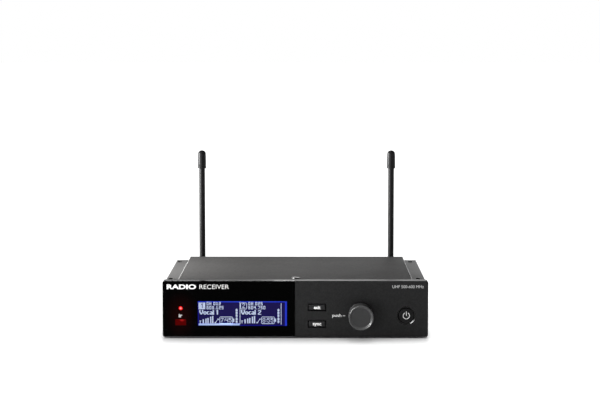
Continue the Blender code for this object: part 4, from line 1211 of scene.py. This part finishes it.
undersideShape = {"x": (-60.0, 60.0), "inset": 9.0, "face": 2.05, "radius": 2.8, "slot": (4.0, 0.7)}


def makeUndersideScrews():
    shape = undersideShape
    heads = []
    y = limits("chassis_tray")[1]
    low, radius = shape["face"], shape["radius"]
    for x in shape["x"]:
        for place in (y[0] + shape["inset"], y[1] - shape["inset"]):
            profile = [(0, low), (radius - 0.6, low), (radius, low + 0.2), (radius, low + 0.7)]
            head = lathe(profile + [(0, low + 0.7)], "Z", (x, place), 32)
            long, wide = shape["slot"]
            slot = slab(about(x, long), about(place, wide), (low - 0.55, low + 0.35))
            heads.append(carve(head, slot))
    addPiece("undersideScrews", joined(*heads), blackScrew, "housing")


makeUndersideScrews()
print("Cover, rails, screws and feet made")


rearShape = {"outside": 140.0, "inside": 138.7, "seat": 140.3, "capHeight": 3.2, "weight": 0.02}


def rearScrew(place, profile, reach, deep, out):
    # A screw head facing the rear, with a cross of that reach cut between deep and out.
    arms = [
        slab(about(place[0], reach), (deep, out), about(place[1], 0.6)),
        slab(about(place[0], 0.6), (deep, out), about(place[1], reach)),
    ]
    return carve(lathe(profile, "Y", place, 40), weld(*arms))


def makeRearPanel():
    x, y, z = limits("rear_panel")
    plate = slab(x, y, z)
    softenEdges(plate, 0.25, lambda edge: True, 2)
    holes = []
    radii = {"bnc_jack_a": 5.0, "bnc_jack_b": 5.0, "xlr_shell_1": 12.0, "xlr_shell_2": 12.0}
    radii.update({"phone_jack_1": 4.8, "phone_jack_2": 4.8, "dc_jack": 5.1})
    for node, radius in radii.items():
        holes.append(rod(radius, "Y", middle(node), y[0] - 1, y[1] + 1, 64))
    wide, _, tall = limits("ethernet_jack")
    holes.append(slab(wider(wide, 0.3), wider(y, 1), wider(tall, 0.3)))
    plate = carve(plate, *holes)
    addPiece("rearPlate", plate, powderCoat, "housing", ["rear_panel"])

    heads = []
    for place in ((-47.0, 37.5), (0.0, 37.5), (47.0, 37.5), (-78.5, 7.2), (78.5, 7.2)):
        profile = [(0, 139.9), (2.6, 139.9), (2.6, 140.2), (2.0, 140.7), (0, 140.8)]
        heads.append(rearScrew(place, profile, 2.6, 140.3, 141.5))
    addPiece("rearScrews", joined(*heads), blackScrew, "housing")

    cap, weight, out = rearShape["capHeight"], rearShape["weight"], rearShape["outside"]
    for letter in ("A", "B"):
        bnc, height = middle("bnc_jack_" + letter.lower())
        legend = lettering(letter, bnc, height + 12.0, cap, out, weight=weight, facing=1)
        addPiece("rearMark" + letter, legend, legendWhite, "housing")
    for number in ("1", "2"):
        phone, height = middle("phone_jack_" + number)
        shell = middle("xlr_shell_" + number)[0]
        legend = lettering(number, phone, 34.4, cap, out, weight=weight, facing=1)
        start = phone + math.copysign(2.4, shell - phone)
        line = slab(sorted((start, shell)), (out, 140.03), (39.2, 39.5))
        addPiece("rearMark" + number, joined(legend, line), legendWhite, "housing")


makeRearPanel()

outputShape = {"shell": 11.7, "bore": 9.7, "corner": 3.0, "pin": 1.2, "circle": 4.5}


def makeOutput(number):
    shape = outputShape
    node = "xlr_shell_" + number
    x, y, z = limits(node)
    centre = middle(node)
    flange = slab(x, (rearShape["seat"], y[1]), z)
    roundedRear(flange, shape["corner"], 0.45, y[1])
    tube = rod(shape["shell"], "Y", centre, y[0], 141.0, 96)
    shell = weld(flange, tube)
    bore = [(0, y[0] - 1), (shape["bore"], y[0] - 1), (shape["bore"], y[1] - 0.8)]
    bore += [(shape["bore"] + 1.8, y[1] + 1.0), (0, y[1] + 1.0)]
    shell = carve(shell, lathe(bore, "Y", centre, 96))
    addPiece("outputShell" + number, shell, brightNickel, "housing", [node])

    heads = []
    for side in (-1, 1):
        place = (centre[0] + side * 9.8, centre[1] + side * 12.3)
        profile = [(0, 141.4), (2.6, 141.4), (2.6, 141.85), (1.9, 142.3), (0, 142.4)]
        heads.append(rearScrew(place, profile, 2.8, 141.9, 143))
    addPiece("outputScrews" + number, joined(*heads), blackScrew, "housing")

    node = "xlr_insert_" + number
    low, high = limits(node)[1]
    core = rod(shape["bore"] - 0.4, "Y", centre, low, low + 4.0, 64, 0.3)
    key = slab(about(centre[0], 2.4), (low - 1, low + 5), (centre[1] + 7.6, centre[1] + 11))
    core = carve(core, key)
    addPiece("outputInsert" + number, core, innerPlastic, "housing", [node])
    pins = []
    for angle in (210, 270, 330):
        turn = math.radians(angle)
        reach = shape["circle"]
        place = (centre[0] + reach * math.cos(turn), centre[1] + reach * math.sin(turn))
        tip = curveOf((0, high - shape["pin"]), shape["pin"], 0, 90, 6)
        profile = [(0, low + 4.05), (shape["pin"], low + 4.05)] + tip[:-1] + [(0, high)]
        pins.append(lathe(profile, "Y", place, 32))
    addPiece("outputPins" + number, joined(*pins), brightNickel, "housing")


def roundedRear(bm, corner, edge, rear):
    softenEdges(bm, corner, runsAlong("Y"), 8)
    softenEdges(bm, edge, liesAt("Y", rear), 3)


def makePhoneJack(number):
    node = "phone_jack_" + number
    x, y, z = limits(node)
    centre = middle(node)
    thread = []
    place = 140.0
    while place < y[1] - 0.9:
        thread += [(4.5, place), (4.5, place + 0.15), (4.2, place + 0.4), (4.5, place + 0.65)]
        place += 0.8
    body = slab(x, (y[0], rearShape["inside"]), z)
    softenEdges(body, 0.4, lambda edge: True, 2)
    nose = [(0, 137.7), (4.5, 137.7)] + thread + [(4.5, y[1] - 0.3), (4.2, y[1]), (0, y[1])]
    jack = weld(body, lathe(nose, "Y", centre, 64))
    bore = [(0, y[0] + 2), (3.25, y[0] + 2), (3.25, y[1] - 0.4), (3.9, y[1] + 0.25), (0, y[1] + 0.25)]
    jack = carve(jack, lathe(bore, "Y", centre, 64))
    addPiece("phoneJack" + number, jack, innerPlastic, "housing", [node])

    node = "phone_nut_" + number
    y = limits(node)[1]
    nut = rod(7.0, "Y", centre, *y, steps=6)
    turn = Matrix.Rotation(math.radians(30), 3, "Y")
    bmesh.ops.rotate(nut, matrix=turn, cent=(centre[0], 0, centre[1]), verts=nut.verts)
    dome = [(0, y[0] - 1), (8.2, y[0] - 1), (8.2, y[1] - 1.1), (6.0, y[1]), (0, y[1])]
    nut = withBoolean(nut, lathe(dome, "Y", centre, 64), "INTERSECT")
    nut = carve(nut, rod(4.8, "Y", centre, y[0] - 1, y[1] + 1, 64))
    addPiece("phoneNut" + number, nut, brightNickel, "housing", [node])


def makeNetworkJack():
    x, y, z = limits("ethernet_jack")
    centre = middle("ethernet_jack")
    shell = slab(x, y, z)
    softenEdges(shell, 0.3, lambda edge: True, 2)
    socket = slab(about(centre[0], 11.7), (y[1] - 14, y[1] + 1), about(centre[1], 8.6))
    latch = slab(about(centre[0], 6.2), (y[1] - 9, y[1] + 1), (centre[1] - 6.0, centre[1] - 4.2))
    shell = carve(shell, weld(socket, latch))
    addPiece("networkShell", shell, brightNickel, "housing", ["ethernet_jack"])
    contacts = []
    for i in range(8):
        place = centre[0] + (i - 3.5) * 1.02
        contact = slab(about(place, 0.45), (y[1] - 12, y[1] - 2.5), (centre[1] + 3.4, centre[1] + 4.3))
        softenEdges(contact, 0.12, lambda edge: True, 1)
        contacts.append(contact)
    addPiece("networkContacts", joined(*contacts), contactGold, "housing")
    lining = slab(about(centre[0], 11.5), (y[1] - 13.95, y[1] - 13.2), about(centre[1], 8.4))
    softenEdges(lining, 0.15, lambda edge: True, 1)
    addPiece("networkLining", lining, innerPlastic, "housing")


def makeSupplyJack():
    x, y, z = limits("dc_jack")
    centre = middle("dc_jack")
    body = slab(x, (y[0], rearShape["inside"]), z)
    softenEdges(body, 0.3, lambda edge: True, 2)
    jack = weld(body, rod(4.8, "Y", centre, 137.7, y[1], 64, 0.3))
    bottom = 138.7 - 7
    bore = [(0, bottom), (3.0, bottom), (3.0, y[1] - 0.4), (3.6, y[1] + 0.2), (0, y[1] + 0.2)]
    jack = carve(jack, lathe(bore, "Y", centre, 64))
    addPiece("supplyJack", jack, innerPlastic, "housing", ["dc_jack"])
    tip = [(0, bottom + 0.05), (1.0, bottom + 0.05), (1.0, y[1] - 2.2), (0.6, y[1] - 1.5)]
    tip.append((0, y[1] - 1.5))
    addPiece("supplyPin", lathe(tip, "Y", centre, 32), brightNickel, "housing")


for number in ("1", "2"):
    makeOutput(number)
    makePhoneJack(number)
makeNetworkJack()
makeSupplyJack()
print("Rear panel made")


jackShape = {"barrel": 4.8, "wall": 0.7, "core": 2.3}


def makeAntennaJack(letter):
    shape = jackShape
    node = "bnc_jack_" + letter
    low, high = limits(node)[1]
    centre = middle(node)
    barrelFront = high - 10.0
    inner = barrelFront + 2.0
    barrel, core = shape["barrel"], shape["core"]
    wall = barrel - shape["wall"]
    shoulder = 134.0
    profile = [
        (0, low), (0.8, low), (1.0, low + 0.2), (1.0, shoulder - 2), (4.0, shoulder - 2),
        (4.0, shoulder), (4.7, shoulder), (4.7, 140.3), (6.2, 140.3), (6.2, barrelFront - 0.3),
        (5.9, barrelFront), (barrel, barrelFront), (barrel, high - 0.3), (4.5, high), (wall, high),
        (wall, inner), (core, inner), (core, high - 1.5), (0.9, high - 1.5), (0.9, inner + 0.6),
        (0, inner + 0.6),
    ]
    jack = lathe(profile, "Y", centre, 72)
    for side in (-1, 1):
        reach = sorted((centre[1] + side * 4.45, centre[1] + side * 5.5))
        jack = weld(jack, rod(0.9, "Z", (centre[0], barrelFront + 5), *reach, steps=24))
    addPiece("antennaJack" + letter.upper(), jack, brightNickel, "housing", [node])


collarShape = {"inside": 5.9, "outside": 7.25, "grips": 40, "gripDepth": 0.3}


def makeCollar(letter):
    shape = collarShape
    node = "antenna_collar_" + letter
    low, high = limits(node)[1]
    centre = middle(node)
    inside, outside = shape["inside"], shape["outside"]
    neck = high - 1.1
    profile = [
        (inside, low), (outside - 0.3, low), (outside, low + 0.3), (outside, low + 2.0),
        (outside - 0.35, low + 2.3), (outside - 0.35, low + 2.8), (outside, low + 3.1),
        (outside, high - 1.2), (outside - 0.6, high), (4.5, high), (4.5, neck), (inside, neck),
    ]
    ring = lathe(profile, "Y", centre, shape["grips"])
    grips = []
    for face in ring.faces:
        spot = face.calc_center_median()
        out = Vector((spot.x - centre[0], 0, spot.z - centre[1])).length
        if out > outside - 0.2 and low + 3.2 < spot.y < high - 1.3:
            grips.append(face)
    bmesh.ops.inset_individual(ring, faces=grips, thickness=0.22, depth=-shape["gripDepth"])
    addPiece("collar" + letter.upper(), ring, brightNickel, "collar_" + letter, [node])


knuckleShape = {"base": 7.0, "neck": 4.1, "cheek": 4.9, "near": 2.6, "far": 5.0}


def makeKnuckle(letter):
    shape = knuckleShape
    node = "antenna_knuckle_" + letter
    low, high = limits(node)[1]
    centre = middle(node)
    hinge = high - shape["cheek"]
    neckFront = 152.4
    forkFront, forkRear = 153.9, 155.3
    profile = [
        (0, low + 0.8), (0.5, low + 0.8), (0.5, 151.2), (2.8, 151.2), (2.8, low), (3.7, low),
        (3.7, neckFront), (4.1, neckFront), (4.1, forkFront), (6.6, forkFront),
        (7.0, forkFront + 0.4), (7.0, forkRear - 0.4), (6.6, forkRear), (0, forkRear),
    ]
    base = lathe(profile, "Y", centre, 72)
    reach = shape["cheek"]
    for side in (-1, 1):
        wide = sorted((centre[0] + side * shape["near"], centre[0] + side * shape["far"]))
        cheek = slab(wide, (forkRear - 0.7, high), about(centre[1], 2 * reach))
        softenEdges(cheek, reach - 0.02, runsAlong("X", lambda point: point.y > high - 1), 14)
        outer = centre[0] + side * shape["far"]
        softenEdges(cheek, 0.35, liesAt("X", outer), 3)
        base = weld(base, cheek)
    hole = rod(1.7, "X", (hinge, centre[1]), centre[0] - 7, centre[0] + 7, 40)
    base = carve(base, hole)
    body = "antenna_base_" + letter
    addPiece("knuckle" + letter.upper(), base, antennaRubber, body, [node])

    pinEdge = shape["far"]
    pin = rod(1.4, "X", (hinge, centre[1]), centre[0] - pinEdge, centre[0] + pinEdge, 32, 0.25)
    slots = [
        slab(sorted((centre[0] + side * (pinEdge - 0.4), centre[0] + side * (pinEdge + 1))),
             about(hinge, 4.0), about(centre[1], 0.45))
        for side in (-1, 1)
    ]
    pin = carve(pin, *slots)
    node = "antenna_pin_" + letter
    addPiece("hingePin" + letter.upper(), pin, bareSteel, body, [node])


whipShape = {"radius": 2.5, "ferrule": 3.5, "tongue": 4.3, "width": 4.4, "capRadius": 3.5}


def makeWhip(letter):
    shape = whipShape
    node = "antenna_whip_" + letter
    x, y, z = limits(node)
    centreX = sum(x) / 2
    hinge = y[0] + shape["tongue"]
    hingeZ = z[0] + shape["tongue"]
    radius, ferrule = shape["radius"], shape["ferrule"]
    profile = [
        (0, hingeZ + 6.0), (ferrule - 0.4, hingeZ + 6.0), (ferrule, hingeZ + 6.4),
        (ferrule, hingeZ + 8.0), (ferrule - 0.25, hingeZ + 8.2), (ferrule - 0.25, hingeZ + 8.6),
        (ferrule, hingeZ + 8.8), (ferrule, hingeZ + 12.6), (radius + 0.3, hingeZ + 13.7),
        (radius, hingeZ + 14.6), (radius, z[1]), (0, z[1]),
    ]
    whip = lathe(profile, "Z", (centreX, hinge), 64)
    tongue = rod(shape["tongue"], "X", (hinge, hingeZ), *about(centreX, shape["width"]), steps=64)
    neck = slab(about(centreX, shape["width"]), about(hinge, 6.1), (hingeZ, hingeZ + 7))
    whip = weld(whip, weld(tongue, neck))
    hole = rod(1.7, "X", (hinge, hingeZ), centreX - 5, centreX + 5, 40)
    whip = carve(whip, hole)
    body = "antenna_" + letter
    addPiece("whip" + letter.upper(), whip, antennaRubber, body, [node])

    node = "antenna_cap_" + letter
    low, top = limits(node)[2]
    bore, outer = radius + 0.3, shape["capRadius"]
    crown = curveOf((0, 0), outer - 0.2, 0, 84, 12)
    rise = 3.0 / (outer - 0.2)
    profile = [(0, top - 4.7), (bore, top - 4.7), (bore, low), (outer - 0.25, low), (outer, low + 0.25)]
    profile += [(outer, low + 2.2), (outer - 0.18, low + 2.4), (outer - 0.18, low + 2.7)]
    profile += [(outer, low + 2.9), (outer - 0.1, top - 5.0)]
    profile += [(r, top - 3.0 + height * rise) for r, height in crown] + [(0, top)]
    cap = lathe(profile, "Z", (centreX, hinge), 64)
    addPiece("whipCap" + letter.upper(), cap, antennaRubber, body, [node])


for letter in ("a", "b"):
    makeAntennaJack(letter)
    makeCollar(letter)
    makeKnuckle(letter)
    makeWhip(letter)
print("Antennas made")


stageShape = {
    "floor": 12.0,
    "floorTone": 0.9,
    "washPlace": (0, 12.0, 20.0),  # high and behind, so the shadow falls softly forwards
    "washSize": (5.0, 22.0),
    "washPower": 4000.0,
    "domePower": 3.0,
}


def addLamp(name, place, aim, size, watts):
    lamp = bpy.data.lights.new(name, "AREA")
    lamp.shape = "RECTANGLE"
    lamp.size, lamp.size_y = size
    lamp.energy = watts
    holder = bpy.data.objects.new(name, lamp)
    holder.location = place
    direction = Vector(aim) - Vector(place)
    holder.rotation_euler = direction.to_track_quat("-Z", "Y").to_euler()
    holder.visible_camera = False
    bpy.context.scene.collection.objects.link(holder)
    return holder


def linkTo(light, things, state):
    # Keeps a light to the given objects, or off them.
    group = bpy.data.collections.new(light.name + "Reach")
    for thing in things:
        group.objects.link(thing)
    light.light_linking.receiver_collection = group
    for item in group.collection_objects:
        item.light_linking.link_state = state


def makeStage():
    bm = bmesh.new()
    bmesh.ops.create_grid(bm, x_segments=1, y_segments=1, size=stageShape["floor"])
    mesh = bpy.data.meshes.new("floor")
    bm.to_mesh(mesh)
    bm.free()
    floor = bpy.data.objects.new("floor", mesh)
    bpy.context.scene.collection.objects.link(floor)
    material, tree, shader = newMaterial("palePaper")
    tone = stageShape["floorTone"]
    shader.inputs["Base Color"].default_value = (tone, tone, tone, 1)
    shader.inputs["Roughness"].default_value = 0.9
    shader.inputs["Specular IOR Level"].default_value = 0.0
    mesh.materials.append(material)
    floor.visible_glossy = False  # keeps the window black
    floor.visible_transmission = False

    wash = addLamp(
        "floorWash", stageShape["washPlace"], (0, 0, 0), stageShape["washSize"], stageShape["washPower"]
    )
    linkTo(wash, [floor], "INCLUDE")
    dome = bpy.data.lights.new("floorDome", "SUN")
    dome.angle = math.radians(170)
    dome.energy = stageShape["domePower"]
    holder = bpy.data.objects.new("floorDome", dome)
    bpy.context.scene.collection.objects.link(holder)
    linkTo(holder, [floor], "INCLUDE")
    return floor


floor = makeStage()

lights = {
    # name: (place, aim, size, watts)
    "keyLeft": ((-0.19, 0.0, 0.09), (-0.06, 0.0, 0.04), (0.05, 0.15), 1.8),
    "backLeft": ((-0.9, 1.1, 0.5), (0, 0, 0.05), (0.5, 0.7), 1.5),
    "backCard": ((0.12, 0.2, 0.11), (0.06, 0.0, 0.04), (0.3, 0.1), 0.09),
    "lowFront": ((-0.5, -0.75, 0.045), (0.02, 0, 0.02), (0.25, 0.06), 0.62),
    "rimLeft": ((-0.8, -0.14, 0.45), (0.05, -0.09, 0.02), (0.3, 0.5), 9.0),
    "rimGlint": ((-0.61, -0.55, 0.58), (0.05, -0.09, 0.02), (0.25, 0.7), 12.0),
    "whipLeft": ((-0.7, 0.02, 0.2), (-0.03, 0.09, 0.1), (0.1, 0.3), 7.5),
    "bounce": ((-0.03, -0.125, 0.002), (0.0, -0.07, 0.03), (0.26, 0.04), 0.07),
}


rimPieces = ("controlKnob", "powerTrim", "exitCap", "syncCap", "coverScrew")
whipPieces = ("whipA", "whipCapA", "whipB", "whipCapB")
diffuseOnly = ("keyLeft", "bounce")  # their reflections would burn out the cover and window
onlyFor = {"rimLeft": rimPieces, "rimGlint": rimPieces, "whipLeft": whipPieces}


def makeLights():
    for name, settings in lights.items():
        lamp = addLamp(name, *settings)
        lamp.visible_glossy = lamp.visible_transmission = name not in diffuseOnly
        if name in onlyFor:
            linkTo(lamp, [bpy.data.objects[piece] for piece in onlyFor[name]], "INCLUDE")
        elif name == "keyLeft":
            spared = [bpy.data.objects[piece] for piece in whipPieces]
            linkTo(lamp, [floor] + spared, "EXCLUDE")
        else:
            linkTo(lamp, [floor], "EXCLUDE")


makeLights()

worldTone = {
    "seen": 1.0,
    "base": 0.02,
    "behind": 0.11,
    "left": 0.04,
    "above": 0.03,
    "horizon": 1.1,  # bright band low behind
    "horizonWidth": 0.3,
}


def makeWorld():
    # White where the camera looks past the object; for the object itself it is brightest
    # behind, above and to the left, and dark in front, as in a small black-flagged studio.
    world = bpy.data.worlds.new("studio")
    bpy.context.scene.world = world
    world.use_nodes = True
    tree = world.node_tree
    background = tree.nodes["Background"]
    place = addNode(tree, "ShaderNodeTexCoord")
    parts = addNode(tree, "ShaderNodeSeparateXYZ")
    wire(tree, place.outputs["Generated"], parts.inputs[0])
    total = worldTone["base"]
    for axis, sign, label in (("Y", 1, "behind"), ("X", -1, "left"), ("Z", 1, "above")):
        turned = mathNode(tree, "MULTIPLY", parts.outputs[axis], sign)
        held = mathNode(tree, "MAXIMUM", turned, 0.0)
        total = mathNode(tree, "ADD", mathNode(tree, "MULTIPLY", held, worldTone[label]), total)
    height = mathNode(tree, "ABSOLUTE", parts.outputs["Z"], 0.0)
    band = mathNode(tree, "SUBTRACT", 1.0, mathNode(tree, "DIVIDE", height, worldTone["horizonWidth"]))
    rear = mathNode(tree, "MAXIMUM", parts.outputs["Y"], 0.0)
    band = mathNode(tree, "MULTIPLY", mathNode(tree, "MAXIMUM", band, 0.0), rear)
    total = mathNode(tree, "ADD", mathNode(tree, "MULTIPLY", band, worldTone["horizon"]), total)
    path = addNode(tree, "ShaderNodeLightPath")
    blend = addNode(tree, "ShaderNodeMix", data_type="FLOAT")
    wire(tree, path.outputs["Is Camera Ray"], blend.inputs["Factor"])
    wire(tree, total, blend.inputs[2])
    blend.inputs[3].default_value = worldTone["seen"]
    wire(tree, blend.outputs[0], background.inputs["Strength"])
    background.inputs["Color"].default_value = (1, 1, 1, 1)


makeWorld()

cameraSetup = {
    "place": (7.93, -1226.6, 223.7),
    "down": 5.61,
    "yaw": -0.209,
    "lens": 100.4,
}


def makeCamera():
    data = bpy.data.cameras.new("camera")
    data.lens = cameraSetup["lens"]
    data.sensor_width = 36.0
    data.clip_start, data.clip_end = 0.05, 60.0
    camera = bpy.data.objects.new("camera", data)
    x, y, z = cameraSetup["place"]
    camera.location = (x * mm, (y + faceY) * mm, z * mm)
    turn, tilt = math.radians(cameraSetup["yaw"]), math.radians(cameraSetup["down"])
    look = Vector((math.sin(turn) * math.cos(tilt), math.cos(turn) * math.cos(tilt), -math.sin(tilt)))
    camera.rotation_euler = look.to_track_quat("-Z", "Y").to_euler()
    bpy.context.scene.collection.objects.link(camera)
    bpy.context.scene.camera = camera


makeCamera()
bpy.context.scene.view_settings.view_transform = "Standard"
print("Stage, lights and camera made")
